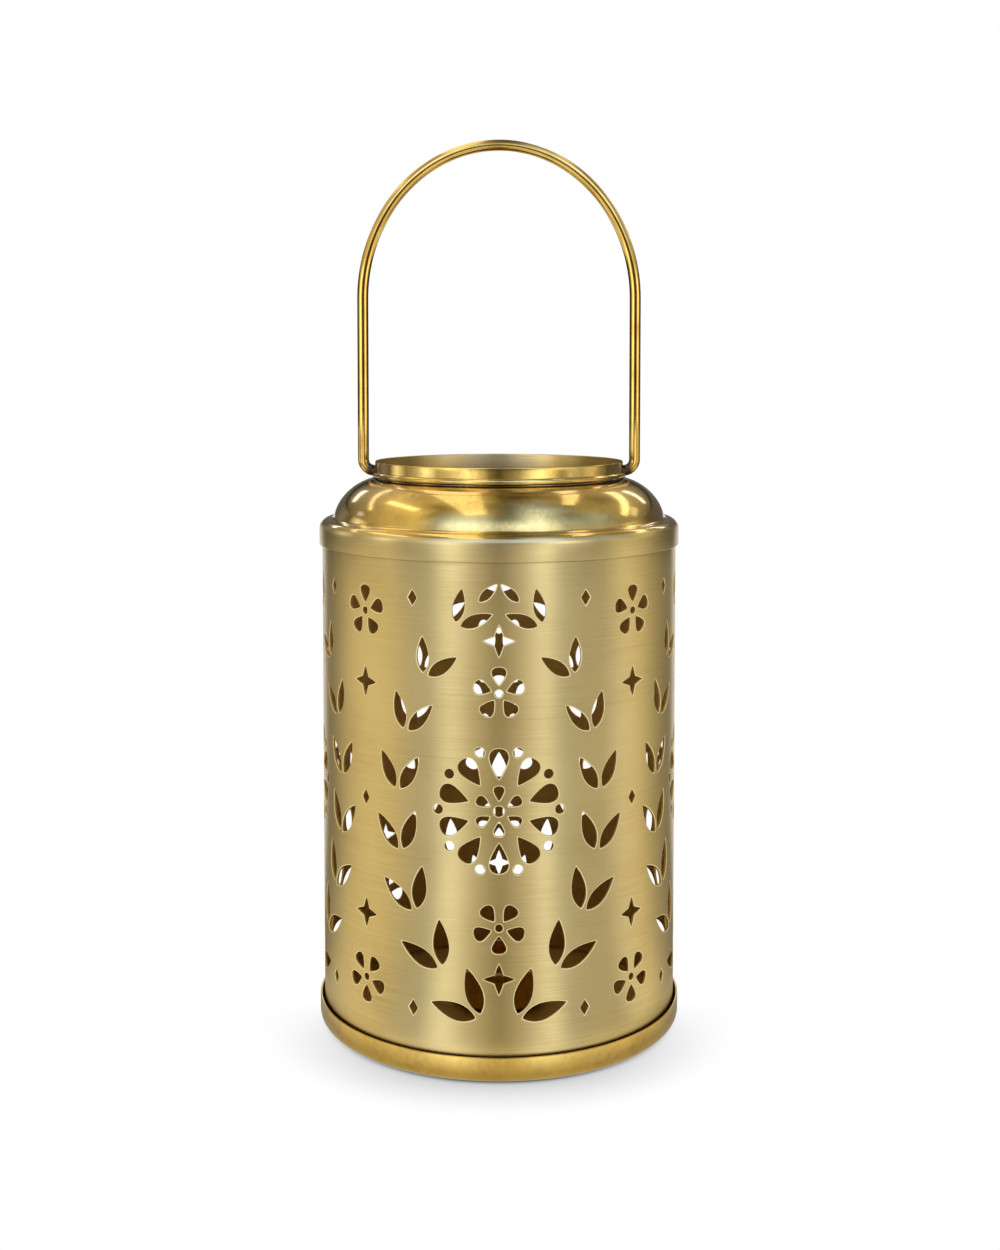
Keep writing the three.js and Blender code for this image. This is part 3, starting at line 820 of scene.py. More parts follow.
def star_mark(u, v, size):
    return placed(star_outline(4, size.star, size.star * 0.4, size.tip * 0.8), u, v)


def diamond_mark(u, v, size):
    corner = size.tip * 0.5
    return placed(star_outline(2, size.diamond, size.diamond * 0.66, corner, corner), u, v)


def panel(u, v, half_width, half_height, size):
    outlines = medallion(u, v, half_width - size.medallion_margin, size.tip)
    for side in (-1, 1):
        outlines += branch(u, v, side, half_width, half_height, size)
        outlines += blossom(u, v + side * half_height * 0.52, size.blossom, size.tip, 90 - side * 90)
        outlines.append(star_mark(u, v + side * half_height * 0.75, size))
        outlines.append(diamond_mark(u + side * half_width * 0.83, v + half_height * 0.93, size))
        outlines.append(diamond_mark(u + side * half_width * 0.83, v - half_height * 0.91, size))
    return outlines


def border(u, v, half_height, size):
    """Stands between two panels."""
    outlines = blossom(u, v + half_height * 0.85, size.blossom, size.tip)
    outlines += blossom(u, v - half_height * 0.83, size.blossom, size.tip, 180)
    for side in (-1, 1):
        outlines.append(star_mark(u, v + side * half_height * 0.53, size))
    outlines.append(diamond_mark(u, v, size))
    return outlines


def ornament(panels, seam_panel, size):
    """Every hole of the drum, on a flat sheet that begins at the seam."""
    width = tau * DRUM_TOP.x / panels
    middle = (PAN_TOP.z + SHOULDER_FOOT.z) / 2
    half_height = (SHOULDER_FOOT.z - PAN_TOP.z) / 2 - size.margin
    half_width = (width - size.border) / 2
    outlines = []
    for i in range(seam_panel + 1, seam_panel + 1 + panels):
        outlines += panel(i * width, middle, half_width, half_height, size)
        if i < seam_panel + panels:
            outlines += border((i + 0.5) * width, middle, half_height, size)
    return outlines


def drawn_outlines(outlines):
    """The outlines as closed wires on the flat sheet, in millimetres."""
    curve = bpy.data.curves.new("outlines", "CURVE")
    curve.dimensions = "2D"
    curve.fill_mode = "NONE"
    curve.resolution_u = OUTLINE_STEPS
    for outline in outlines:
        spline = curve.splines.new("BEZIER")
        spline.bezier_points.add(len(outline) - 1)
        spline.use_cyclic_u = True
        for point, (place, handle) in zip(spline.bezier_points, outline):
            point.handle_left_type = point.handle_right_type = "FREE"
            point.co = (*place, 0)
            point.handle_left = (*(place - handle), 0)
            point.handle_right = (*(place + handle), 0)
    return curve_bmesh(curve)


def pierced_sheet(start, end, low, high, holes, rim):
    """The flat sheet round its holes. Each hole has a rim, painted as such, which starts at its outline."""
    bm = drawn_outlines(holes)
    inside = bmesh.ops.edgeloop_fill(bm, edges=bm.edges[:])["faces"]
    bmesh.ops.recalc_face_normals(bm, faces=inside)
    rims = bmesh.ops.inset_individual(bm, faces=inside, thickness=-rim, use_even_offset=True)["faces"]
    outer_edges = list({edge for face in inside for edge in face.edges})
    bmesh.ops.delete(bm, geom=inside, context="FACES_ONLY")
    for face in rims:
        face.material_index = 1
    corners = [bm.verts.new((u, v, 0)) for u, v in ((start, low), (end, low), (end, high), (start, high))]
    border = [bm.edges.new(pair) for pair in zip(corners, corners[1:] + corners[:1])]
    bmesh.ops.triangle_fill(bm, use_beauty=False, use_dissolve=False, edges=border + outer_edges)
    return bm


def sliced(bm, lines):
    """Cuts a flat sheet along upright lines, the middle line first and then each half by itself, which keeps
    the work small. Gives the strips and marks their cuts as seams."""
    if not lines:
        return [bm]
    half = len(lines) // 2
    cut = bmesh.ops.bisect_plane(bm, geom=bm.verts[:] + bm.edges[:] + bm.faces[:], dist=0.0001,
                                 plane_co=(lines[half], 0, 0), plane_no=(1, 0, 0))["geom_cut"]
    for item in cut:
        if isinstance(item, bmesh.types.BMEdge):
            item.seam = True
    strips = []
    for part, side, rest in ((bm.copy(), 1, lines[:half]), (bm, -1, lines[half + 1:])):
        beyond = [face for face in part.faces if side * (face.calc_center_median().x - lines[half]) > 0]
        bmesh.ops.delete(part, geom=beyond, context="FACES")
        strips += sliced(part, rest)
    return strips


def joined(parts):
    """One bmesh of many, with their doubles merged."""
    whole = bmesh.new()
    for part in parts:
        add_part(whole, part)
    bmesh.ops.remove_doubles(whole, verts=whole.verts[:], dist=0.0005)
    return whole


def lap_flap(bm, seam, size):
    """Adds the end of the sheet that lies inside the drum, under the seam, as a flat strip."""
    foot = DRUM_FOOT.z + FLAP_MARGIN
    top = DRUM_TOP.z - FLAP_MARGIN
    flap = bmesh.ops.create_cube(bm, size=1)["verts"]
    bmesh.ops.scale(bm, verts=flap, vec=(size.lap, top - foot, size.sheet))
    bmesh.ops.translate(bm, verts=flap, vec=(seam, (foot + top) / 2, -1.5 * size.sheet - LAP_PLAY))
    edges = list({edge for vert in flap for edge in vert.link_edges})
    across = [edge for edge in edges if abs(edge.verts[0].co.x - edge.verts[1].co.x) > size.sheet]
    bmesh.ops.subdivide_edges(bm, edges=across, cuts=5, use_grid_fill=True)
    for face in bm.faces:
        if face.calc_center_median().z < -size.sheet - LAP_PLAY / 2:
            face.material_index = 2


def drum_mesh(size):
    ornament_group = bpy.context.scene.lantern_ornament
    cuts = ornament_sizes()
    radius = DRUM_TOP.x
    around = tau * radius
    seam = around * (ornament_group.seam_panel + 0.5) / ornament_group.panels
    start = seam + size.lap / 2 - LAP_END
    end = start + around - SEAM_GAP
    holes = ornament(ornament_group.panels, ornament_group.seam_panel, cuts)
    strips = round(around / STRIP_WIDTH)
    lines = [start + around * i / strips for i in range(1, strips)]
    bm = joined(sliced(pierced_sheet(start, end, DRUM_FOOT.z, DRUM_TOP.z, holes, cuts.rim), lines))
    bmesh.ops.dissolve_limit(bm, angle_limit=radians(1), use_dissolve_boundaries=False, verts=bm.verts[:],
                             edges=bm.edges[:], delimit={"SEAM", "MATERIAL"})
    for face in bm.faces:
        if face.normal.z < 0:
            face.normal_flip()
    copy = bmesh.ops.duplicate(bm, geom=bm.verts[:] + bm.edges[:] + bm.faces[:])["geom"]
    inner_faces = [item for item in copy if isinstance(item, bmesh.types.BMFace)]
    inner_verts = [item for item in copy if isinstance(item, bmesh.types.BMVert)]
    bmesh.ops.translate(bm, verts=inner_verts, vec=(0, 0, -size.sheet))
    bmesh.ops.reverse_faces(bm, faces=inner_faces)
    for face in inner_faces:
        face.material_index = 2
    open_edges = [edge for edge in bm.edges if edge.is_boundary and edge.verts[0].co.z > -size.sheet / 2]
    for vert in {vert for edge in open_edges for vert in edge.verts}:
        if any(face.material_index == 1 for face in vert.link_faces):
            vert.co.z = -cuts.rim_drop
    for item in bmesh.ops.extrude_edge_only(bm, edges=open_edges)["geom"]:
        if isinstance(item, bmesh.types.BMVert):
            item.co.z = -size.sheet
        elif isinstance(item, bmesh.types.BMFace):
            item.material_index = 2
    bmesh.ops.remove_doubles(bm, verts=bm.verts[:], dist=0.0005)
    for edge in bm.edges:
        edge.seam = False
    lap_flap(bm, seam, size)
    for vert in bm.verts:
        angle = vert.co.x / radius
        out = radius + vert.co.z
        vert.co = Vector((out * sin(angle), -out * cos(angle), vert.co.y))
    bmesh.ops.recalc_face_normals(bm, faces=bm.faces[:])
    return bm


def round_off(piece):
    """Gives the drum's outer skin the normals of a true cylinder, so that its strips don't show."""
    mesh = piece.data
    normals = [Vector((0, 0, 0))] * len(mesh.loops)
    for face in mesh.polygons:
        if face.material_index == 0:
            for loop in face.loop_indices:
                place = mesh.vertices[mesh.loops[loop].vertex_index].co
                normals[loop] = Vector((place.x, place.y, 0)).normalized()
    mesh.normals_split_custom_set(normals)


# The bail

def bail_path(size, neck):
    """The wire's centreline from one head to the other, in millimetres."""
    leg = neck + size.standoff + size.bend
    tip = neck - body_sizes().sheet - size.tip
    arch = BAIL_TOP.z - size.wire - PIVOT.z - size.leg
    half = [(tip, PIVOT.z), *arc((leg - size.bend, PIVOT.z + size.bend), size.bend, -90, 0, 12)]
    for i in range(ARCH_STEPS + 1):
        angle = radians(90 * i / ARCH_STEPS)
        half.append((leg * cos(angle), PIVOT.z + size.leg + arch * sin(angle)))
    return [Vector((x, 0, z)) for x, z in half + [(-x, z) for x, z in reversed(half[:-1])]]


def bail_mesh(size):
    neck = neck_radius(body_sizes())
    points = bail_path(size, neck)
    curve = bpy.data.curves.new("wire", "CURVE")
    curve.dimensions = "3D"
    curve.bevel_depth = size.wire
    curve.bevel_resolution = WIRE_RESOLUTION
    curve.use_fill_caps = True
    spline = curve.splines.new("POLY")
    spline.points.add(len(points) - 1)
    for point, place in zip(spline.points, points):
        point.co = (*place, 1)
    bm = curve_bmesh(curve)
    bmesh.ops.recalc_face_normals(bm, faces=bm.faces[:])
    head_radius = PIVOT.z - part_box("bail_handle")[0].z / MM
    tip = points[0].x
    for side in (-1, 1):
        outline = [(0, 0), (head_radius, 0), (head_radius * 0.86, size.head), (0, size.head)]
        head = spin_outline(outline, {1: 0.35, 2: 0.6}, 48)
        turn = Matrix.Rotation(-side * pi / 2, 4, "Y")
        place = Matrix.Translation((side * tip, 0, PIVOT.z))
        bmesh.ops.transform(head, matrix=place @ turn, verts=head.verts[:])
        add_part(bm, head)
    return bm


# Operators

class LANTERN_OT_pan(bpy.types.Operator):
    """Adds the spun pan that the drum stands in"""
    bl_idname = "lantern.pan"
    bl_label = "Base pan"

    def execute(self, context):
        # The pan's spun brass has less painted shade in its corners than the other pieces
        finish_piece(pan_mesh(body_sizes()), "spun_pan", "base_pan", ["less_shade", "dull"])
        return {"FINISHED"}


class LANTERN_OT_drum(bpy.types.Operator):
    """Adds the rolled and pierced drum"""
    bl_idname = "lantern.drum"
    bl_label = "Pierced drum"

    def execute(self, context):
        piece = finish_piece(drum_mesh(body_sizes()), "rolled_drum", "pierced_drum",
                             ["brushed", "rim", "dull"], sharp=10)
        round_off(piece)
        return {"FINISHED"}


class LANTERN_OT_shoulder(bpy.types.Operator):
    """Adds the spun shoulder with its skirt, ledge and dome"""
    bl_idname = "lantern.shoulder"
    bl_label = "Shoulder"

    def execute(self, context):
        finish_piece(shoulder_mesh(body_sizes()), "spun_shoulder", "shoulder_dome",
                     ["spun", "dull", "brushed"])
        return {"FINISHED"}


class LANTERN_OT_neck(bpy.types.Operator):
    """Adds the neck ring with its bead and the bail's two eyes"""
    bl_idname = "lantern.neck"
    bl_label = "Neck ring"

    def execute(self, context):
        size = body_sizes()
        piece = finish_piece(neck_mesh(size), "beaded_neck", "neck_ring",
                             ["spun", "brushed"])
        drill_eyes(piece, size)
        return {"FINISHED"}


class LANTERN_OT_cup(bpy.types.Operator):
    """Adds the candle cup, its rivet and the burr under the pan"""
    bl_idname = "lantern.cup"
    bl_label = "Candle cup"

    def execute(self, context):
        size = body_sizes()
        finish_piece(cup_mesh(size), "spun_cup", "candle_cup", ["spun"])
        finish_piece(rivet_mesh(), "domed_rivet", "cup_rivet", ["drawn"])
        finish_piece(burr_mesh(size), "riveting_burr", "rivet_burr", ["drawn"])
        return {"FINISHED"}


class LANTERN_OT_bail(bpy.types.Operator):
    """Adds the wire bail with its hammered heads"""
    bl_idname = "lantern.bail"
    bl_label = "Bail"

    def execute(self, context):
        finish_piece(bail_mesh(bail_sizes()), "wire_bail", "bail_handle", ["drawn"])
        return {"FINISHED"}


# The studio
# A white floor and room, lamps, and reflectors that only show in the brass. Azimuth 0 is in front, on -Y, and
# 90 on +X. Elevation is over the horizon of the lantern's dome.

FLOOR_SIZE = 6.0
# The floor's painted shadow: how near the floor has to be to the lantern to darken, how dark it gets, and
# the places in front of the lantern's axis, on Y, where the painted shadow is nil and full
SHADOW_REACH = 0.045
SHADOW_DEPTH = 0.97
SHADOW_NIL, SHADOW_FULL = 0.005, -0.073
DOME_MIDDLE = Vector((0, 0, 0.22))
LAMP_DISTANCE = 1.0
SKY_RADIUS = 1.5
HORIZON_LOW = -8
SCREEN_STEPS = 72
SKY_STEPS = 8
SOFT_EDGE = 2.0
TENT_STRENGTH = 5.0
WARM, PLAIN, COOL = 0xFFF8E0, 0xFFFFFF, 0xEEF5FF
GOLDEN, DAYLIGHT = 0xFFF4D4, 0xA8C0FF

# A panel is an azimuth, a brightness and a tint. One without a tint has the tint of the panel before it.
# The panels that stand close round the pan, at its rim and at the floor
PAN_PANELS = (
    (-180, 0.60, WARM), (-150, 0.95), (-120, 0.70), (-95, 0.60), (-80, 0.66), (-62, 0.95), (-45, 1.00),
    (-28, 1.15, PLAIN), (-14, 1.90, COOL), (-3, 0.95, WARM), (4, 0.95), (14, 1.80, COOL), (28, 1.05, PLAIN),
    (45, 1.00, WARM), (60, 0.85), (75, 0.60), (95, 0.58), (120, 0.70), (150, 0.95), (180, 0.60),
)
FLOOR_PANELS = (
    (-180, 0.30, GOLDEN), (-150, 0.50), (-120, 0.26), (-80, 0.36), (-60, 0.50), (-13, 0.62), (0, 0.50),
    (14, 0.62), (60, 0.44), (80, 0.32), (120, 0.26), (150, 0.50), (180, 0.30),
)
# The panels behind the drum and behind the shoulder's skirt
BACK_LEFT = ((-180, 0.34, WARM), (-164, 0.55), (-150, 1.00, PLAIN), (-124, 0.90))
BACK_RIGHT = ((124, 0.90, PLAIN), (150, 1.00), (164, 0.55, WARM), (180, 0.34))
# The panels round the drum
TENT_PANELS = (
    *BACK_LEFT, (-120, 0.20, WARM), (-108, 0.28), (-97, 0.46), (-84, 0.78), (-70, 0.97), (-56, 0.92),
    (-43, 0.68, PLAIN), (-33, 0.72, COOL), (-23, 1.55), (-13, 0.80, PLAIN), (0, 0.36, WARM),
    (12, 0.76, PLAIN), (21, 1.55, COOL), (30, 0.78), (40, 0.64, PLAIN), (52, 0.62), (64, 1.00),
    (76, 0.94, WARM), (90, 0.53), (104, 0.32), (120, 0.20), *BACK_RIGHT,
)
# The same round the shoulder's skirt, where the sides are darker
SKIRT_PANELS = (
    *BACK_LEFT, (-120, 0.08, WARM), (-108, 0.13), (-97, 0.20), (-84, 0.36), (-70, 0.62), (-56, 0.58),
    (-43, 0.40, PLAIN), (-32, 0.50, COOL), (-22, 2.00), (-13, 0.80, PLAIN), (0, 0.22, WARM),
    (12, 0.80, PLAIN), (21, 2.00, COOL), (29, 0.60), (40, 0.34, PLAIN), (52, 0.44, WARM), (64, 0.98),
    (76, 0.66), (90, 0.30), (104, 0.14), (120, 0.08), *BACK_RIGHT,
)
# The panels round the neck
NECK_PANELS = (
    (-180, 0.20, PLAIN), (-150, 0.15, WARM), (-127, 0.12), (-113, 0.28), (-101, 0.15), (-91, 1.50, PLAIN),
    (-79, 0.35, WARM), (-67, 0.75, PLAIN), (-57, 2.50, COOL), (-48, 0.60, PLAIN), (-39, 0.85),
    (-31, 1.55, COOL), (-23, 2.50), (-15, 1.20, PLAIN), (-7, 0.30, WARM), (0, 0.10), (7, 0.30),
    (15, 0.55, PLAIN), (22, 1.60, COOL), (31, 2.60), (40, 1.30, PLAIN), (48, 0.42), (57, 0.95), (67, 0.60),
    (79, 1.00, WARM), (91, 0.42), (100, 0.14), (127, 0.12), (150, 0.15), (180, 0.20, PLAIN),
)
# The panels further off at eye level, which the bail's legs show
LEG_PANELS = (
    (-180, 0.04, WARM), (-150, 0.04), (-98, 0.06), (-84, 0.50), (-68, 1.20), (-56, 1.90),
    (-44, 3.60, PLAIN), (-32, 1.60), (-16, 0.30, WARM), (-8, 0.05), (20, 0.05), (30, 0.40), (44, 1.60),
    (58, 2.60, PLAIN), (72, 1.10, WARM), (86, 0.40), (98, 0.06), (150, 0.04), (180, 0.04),
)
# The panels overhead, which the dome and the bail's arch show, from ring to ring: elevation and panels
SKY_RINGS = (
    (14, (
        (-180, 0.06, GOLDEN), (-150, 0.15), (-132, 0.16), (-108, 0.40), (-84, 0.65), (-62, 0.85, WARM),
        (-44, 0.60, PLAIN), (-24, 1.60, COOL), (-10, 1.20), (0, 0.60, PLAIN), (12, 1.20, COOL), (26, 1.80),
        (50, 0.65, PLAIN), (76, 0.60), (96, 0.45), (120, 0.26, GOLDEN), (140, 0.16), (160, 0.15),
        (180, 0.06),
    )),
    (34, (
        (-180, 0.35, GOLDEN), (-156, 0.55), (-132, 0.50), (-114, 0.50), (-92, 0.75), (-72, 0.85),
        (-60, 1.00, WARM), (-47, 1.30, DAYLIGHT), (-36, 4.00), (-22, 4.90), (-12, 4.00), (0, 2.20),
        (12, 3.60), (30, 4.90), (48, 1.60), (66, 1.05), (84, 1.25), (98, 0.45, PLAIN), (112, 0.60, GOLDEN),
        (134, 0.60), (158, 0.55), (180, 0.35),
    )),
    (48, (
        (-180, 0.20, GOLDEN), (-168, 0.60), (-150, 0.85), (-128, 1.05), (-108, 1.10), (-72, 1.10),
        (-60, 0.34), (-48, 1.10, DAYLIGHT), (-36, 2.30), (-22, 2.60), (-10, 1.70), (0, 0.55), (12, 0.80),
        (24, 2.50), (36, 3.50), (48, 1.60), (60, 0.60), (84, 0.50, PLAIN), (108, 0.42, GOLDEN), (124, 0.26),
        (146, 0.50), (168, 0.35), (180, 0.20),
    )),
    (62, (
        (-180, 0.22, GOLDEN), (-164, 0.75), (-146, 0.75), (-132, 0.60), (-108, 0.66), (-94, 0.52),
        (-78, 0.26), (-60, 0.36), (-46, 0.70, WARM), (-34, 0.90, PLAIN), (-22, 1.10), (-10, 0.50),
        (2, 0.24), (14, 0.50, DAYLIGHT), (34, 2.20), (50, 2.30), (66, 1.30), (84, 0.30, WARM),
        (104, 0.45, GOLDEN), (136, 0.40), (156, 0.34), (168, 0.12), (180, 0.22),
    )),
    (76, (
        (-180, 0.18, GOLDEN), (-164, 0.55), (-140, 0.85), (-90, 0.80), (-60, 0.75), (-40, 0.75),
        (-26, 0.40), (-12, 0.28, WARM), (4, 0.22, PLAIN), (24, 0.38, DAYLIGHT), (46, 1.10), (84, 1.00),
        (104, 0.45, PLAIN), (132, 0.30, WARM), (150, 0.12, GOLDEN), (168, 0.09), (180, 0.18),
    )),
    (90, (
        (-180, 0.22, GOLDEN), (-108, 0.60), (-60, 0.42), (0, 0.25), (60, 0.18), (150, 0.18), (180, 0.25),
    )),
)
# The reflectors near the lantern: name, radius and height from foot to top in metres, lower and upper panels
NEAR_REFLECTORS = (
    ("pan_floor", ((0.070, 0.0004), (0.083, 0.0005)), FLOOR_PANELS, FLOOR_PANELS),
    ("pan_tent", ((0.083, 0.0005), (0.086, 0.009)), FLOOR_PANELS, PAN_PANELS),
    ("tent", ((0.094, 0.0), (0.15, 0.06), (0.15, 0.188)), TENT_PANELS, TENT_PANELS),
    ("skirt_tent", ((0.15, 0.188), (0.15, 0.214)), SKIRT_PANELS, SKIRT_PANELS),
    ("neck_tent", ((0.15, 0.214), (0.15, 0.247)), NECK_PANELS, NECK_PANELS),
)
# Long lamps: name, the direction of both ends, width in metres, brightness and tint
STRIP_LAMPS = (
    ("overhead_left", (-170, 38), (-24, 58), 0.10, 1.4, PLAIN),
    ("overhead_right", (172, 38), (92, 61), 0.05, 1.9, PLAIN),
    ("back_slant_left", (-160, 36), (-113, 29), 0.026, 2.2, PLAIN),
    ("side_left", (-118, 43), (-82, 50), 0.045, 2.1, PLAIN),
    ("back_slant_right", (146, 38), (104, 27), 0.05, 2.4, PLAIN),
    ("back_left", (-152, 23), (-141, 20), 0.033, 4.5, COOL),
    ("back_right", (150, 29), (139, 20), 0.033, 4.0, COOL),
    ("side_right", (121, 26), (112, 22), 0.05, 1.1, PLAIN),
    ("spot_left", (-119, 20), (-114, 21), 0.035, 2.2, DAYLIGHT),
)


def floor_material():
    """A white sweep, bright enough to show as plain white, with a painted soft shadow at the lantern's foot.
    The shadow darkens where the lantern is near and lies only in front, fading out towards the sides, as if
    the strongest light came from behind."""
    material = new_material("white_floor")
    tree = material.node_tree
    rays = add_node(tree, "ShaderNodeLightPath")
    # The painted shadow: darker where the lantern is near, and only in front of it
    open_share = add_node(tree, "ShaderNodeAmbientOcclusion", {"Distance": SHADOW_REACH}, samples=32)
    dark = add_node(tree, "ShaderNodeMapRange",
                    {"Value": open_share.outputs["AO"], "From Min": 0.9, "From Max": 0.0,
                     "To Max": SHADOW_DEPTH})
    place = add_node(tree, "ShaderNodeTexCoord").outputs["Object"]
    depth = add_node(tree, "ShaderNodeSeparateXYZ", {"Vector": place}).outputs["Y"]
    front = add_node(tree, "ShaderNodeMapRange",
                     {"Value": depth, "From Min": SHADOW_NIL, "From Max": SHADOW_FULL})
    shade = add_node(tree, "ShaderNodeMath", {0: dark, 1: front}, operation="MULTIPLY")
    light = add_node(tree, "ShaderNodeMath", {0: 1.0, 1: shade}, operation="SUBTRACT")
    seen = rays.outputs["Is Camera Ray"]
    for kind in ("Is Glossy Ray", "Is Transmission Ray"):
        seen = add_node(tree, "ShaderNodeMath", {0: seen, 1: rays.outputs[kind]}, operation="MAXIMUM")
    white = add_node(tree, "ShaderNodeEmission", {"Color": linear(0xFFFFFF), "Strength": light})
    matt = add_node(tree, "ShaderNodeBsdfDiffuse", {"Color": linear(0xE8E8E8)})
    both = add_node(tree, "ShaderNodeMixShader", {0: seen, 1: matt, 2: white})
    add_node(tree, "ShaderNodeOutputMaterial", {"Surface": both})
    return material


def white_world():
    """A plain white room, which lights softly from all round."""
    world = bpy.data.worlds.new("white_room")
    world.use_nodes = True
    tree = world.node_tree
    tree.nodes.clear()
    light = add_node(tree, "ShaderNodeBackground", {"Color": linear(0xFFFFFF), "Strength": 1.0})
    add_node(tree, "ShaderNodeOutputWorld", {"Surface": light})
    bpy.context.scene.world = world


def towards(azimuth, elevation):
    a, e = radians(azimuth), radians(elevation)
    return Vector((sin(a) * cos(e), -cos(a) * cos(e), sin(e)))


def strip_lamp(name, start, end, width, brightness, tint):
    """A lamp between two directions from the dome. Half of its light comes from a wider patch, which gives it
    a soft edge. Brightness is what a mirror would show."""
    ends = [LAMP_DISTANCE * towards(*direction) for direction in (start, end)]
    middle = (ends[0] + ends[1]) / 2
    along = (ends[1] - ends[0]).normalized()
    back = (middle - along * middle.dot(along)).normalized()
    for part, spread in (("core", 1.0), ("edge", SOFT_EDGE)):
        lamp = bpy.data.lights.new(f"{name}_{part}", "AREA")
        lamp.shape = "RECTANGLE"
        lamp.size = (ends[1] - ends[0]).length + (spread - 1) * width
        lamp.size_y = width * spread
        lamp.color = linear(tint)[:3]
        lamp.energy = 2 * brightness * lamp.size * lamp.size_y
        carrier = add_object(lamp.name, lamp)
        carrier.matrix_world = Matrix((along, back.cross(along), back)).transposed().to_4x4()
        carrier.location = DOME_MIDDLE + middle
        carrier.visible_camera = False


def azimuth_ramp(tree, share, panels):
    """A colour ramp round the Z axis, from panel to panel."""
    ramp = add_node(tree, "ShaderNodeValToRGB", {"Fac": share})
    stops = ramp.color_ramp.elements
    tint = PLAIN
    for i, (azimuth, brightness, *new_tint) in enumerate(panels):
        tint = new_tint[0] if new_tint else tint
        stop = stops[i] if i < len(stops) else stops.new(1.0)
        stop.position = (azimuth + 180) / 360
        stop.color = (*[brightness / TENT_STRENGTH * channel for channel in linear(tint)[:3]], 1.0)
    return ramp


def panels_material(name, heights, panels, upper_panels):
    """Light that changes softly round the Z axis, from panel to panel, and upwards between two heights."""
    material = new_material(name)
    tree = material.node_tree
    place = add_node(tree, "ShaderNodeTexCoord").outputs["Object"]
    parts = add_node(tree, "ShaderNodeSeparateXYZ", {"Vector": place})
    front = add_node(tree, "ShaderNodeMath", {0: parts.outputs["Y"], 1: -1.0}, operation="MULTIPLY")
    azimuth = add_node(tree, "ShaderNodeMath", {0: parts.outputs["X"], 1: front}, operation="ARCTAN2")
    share = add_node(tree, "ShaderNodeMapRange", {"Value": azimuth, "From Min": -pi, "From Max": pi})
    level = add_node(tree, "ShaderNodeMapRange",
                     {"Value": parts.outputs["Z"], "From Min": heights[0], "From Max": heights[1]})
    light = add_node(tree, "ShaderNodeMix",
                     {"Factor": level, MIX_FIRST: azimuth_ramp(tree, share, panels),
                      MIX_SECOND: azimuth_ramp(tree, share, upper_panels)},
                     data_type="RGBA")
    glow = add_node(tree, "ShaderNodeEmission", {"Color": light, "Strength": TENT_STRENGTH})
    add_node(tree, "ShaderNodeOutputMaterial", {"Surface": glow})
    material.cycles.emission_sampling = "NONE"
    return material


def reflector(name, profile, panels, upper_panels):
    """A screen turned round the Z axis from a profile of radius and height. It only shows in reflections."""
    bm = bmesh.new()
    verts = [bm.verts.new((0, radius, height)) for radius, height in profile]
    edges = [bm.edges.new(pair) for pair in zip(verts, verts[1:])]
    bmesh.ops.spin(bm, geom=verts + edges, cent=(0, 0, 0), axis=(0, 0, 1), angle=tau, steps=SCREEN_STEPS,
                   use_merge=True)
    mesh = mesh_of(bm, name)
    heights = profile[0][1], profile[-1][1]
    mesh.materials.append(panels_material(name, heights, panels, upper_panels))
    screen = add_object(name, mesh)
    screen.visible_camera = False
    screen.visible_diffuse = False
    screen.visible_transmission = False
    screen.visible_shadow = False


def sky_profile(low, high):
    """A meridian of the sky, from one elevation to another."""
    angles = [radians(low + (high - low) * i / SKY_STEPS) for i in range(SKY_STEPS + 1)]
    return [(SKY_RADIUS * cos(a), DOME_MIDDLE.z + SKY_RADIUS * sin(a)) for a in angles]


def camera():
    data = bpy.data.cameras.new("camera")
    data.lens = CAMERA_LENS
    data.sensor_width = 36
    data.shift_x, data.shift_y = CAMERA_SHIFT
    data.clip_start = 0.01
    carrier = add_object("camera", data)
    carrier.location = CAMERA_PLACE
    carrier.rotation_euler = (pi / 2 - CAMERA_DIP, 0, 0)
    bpy.context.scene.camera = carrier


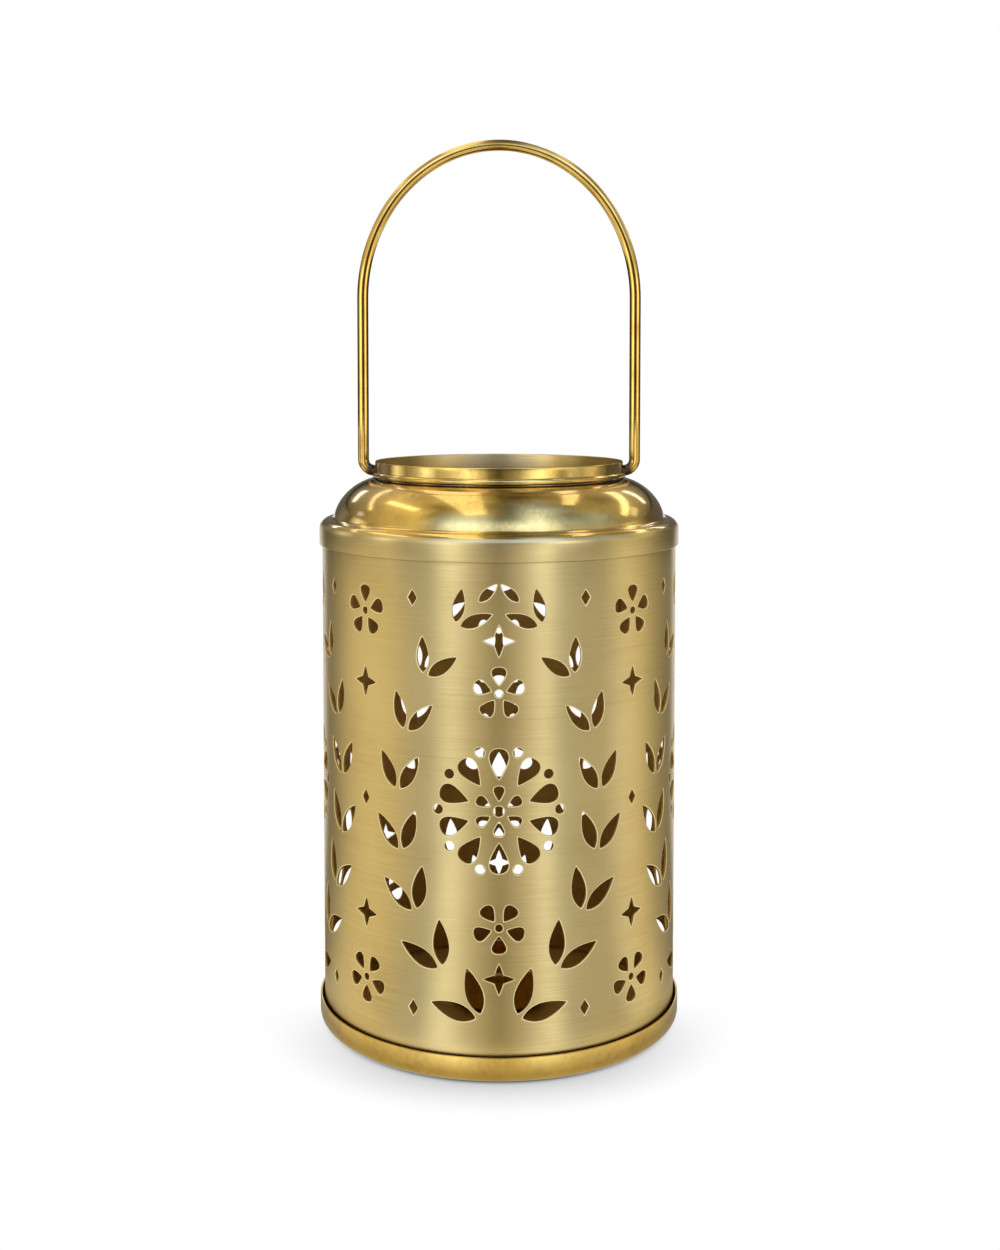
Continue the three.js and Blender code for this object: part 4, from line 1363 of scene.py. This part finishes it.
class LANTERN_OT_stage(bpy.types.Operator):
    """Adds the camera, the white floor and the studio's lights and reflectors"""
    bl_idname = "lantern.stage"
    bl_label = "Studio"

    def execute(self, context):
        camera()
        white_world()
        bm = bmesh.new()
        bmesh.ops.create_grid(bm, x_segments=1, y_segments=1, size=FLOOR_SIZE / 2)
        mesh = mesh_of(bm, "floor")
        mesh.materials.append(floor_material())
        add_object("floor", mesh)
        for screen in NEAR_REFLECTORS:
            reflector(*screen)
        reflector("horizon", sky_profile(HORIZON_LOW, SKY_RINGS[0][0]), LEG_PANELS, LEG_PANELS)
        for (low, panels), (high, upper_panels) in zip(SKY_RINGS, SKY_RINGS[1:]):
            reflector(f"sky_{low}", sky_profile(low, high), panels, upper_panels)
        for lamp in STRIP_LAMPS:
            strip_lamp(*lamp)
        context.scene.view_settings.view_transform = "Standard"
        return {"FINISHED"}


class LANTERN_PT_panel(bpy.types.Panel):
    """Lists the pieces of the lantern in the sidebar"""
    bl_label = "Lantern"
    bl_idname = "LANTERN_PT_panel"
    bl_space_type = "VIEW_3D"
    bl_region_type = "UI"
    bl_category = "Lantern"

    def draw(self, context):
        for operator in OPERATORS:
            self.layout.operator(operator.bl_idname)
        for name in GROUPS:
            group = getattr(context.scene, name)
            for key in group.__annotations__:
                self.layout.prop(group, key)


OPERATORS = (
    LANTERN_OT_stage, LANTERN_OT_pan, LANTERN_OT_drum, LANTERN_OT_shoulder, LANTERN_OT_neck, LANTERN_OT_cup,
    LANTERN_OT_bail,
)
GROUPS = {
    "lantern_body": LanternBodySizes,
    "lantern_cup": LanternCupSizes,
    "lantern_bail": LanternBailSizes,
    "lantern_ornament": LanternOrnamentSizes,
    "lantern_colours": LanternColours,
}


def register():
    for made in (*GROUPS.values(), *OPERATORS, LANTERN_PT_panel):
        bpy.utils.register_class(made)
    for name, group in GROUPS.items():
        setattr(bpy.types.Scene, name, PointerProperty(type=group))


def unregister():
    for name in GROUPS:
        delattr(bpy.types.Scene, name)
    for made in reversed((*GROUPS.values(), *OPERATORS, LANTERN_PT_panel)):
        bpy.utils.unregister_class(made)


def main():
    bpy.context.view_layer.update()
    register()
    bpy.ops.lantern.stage()
    bpy.ops.lantern.pan()
    bpy.ops.lantern.drum()
    bpy.ops.lantern.shoulder()
    bpy.ops.lantern.neck()
    bpy.ops.lantern.cup()
    bpy.ops.lantern.bail()


if __name__ == "__main__":
    main()
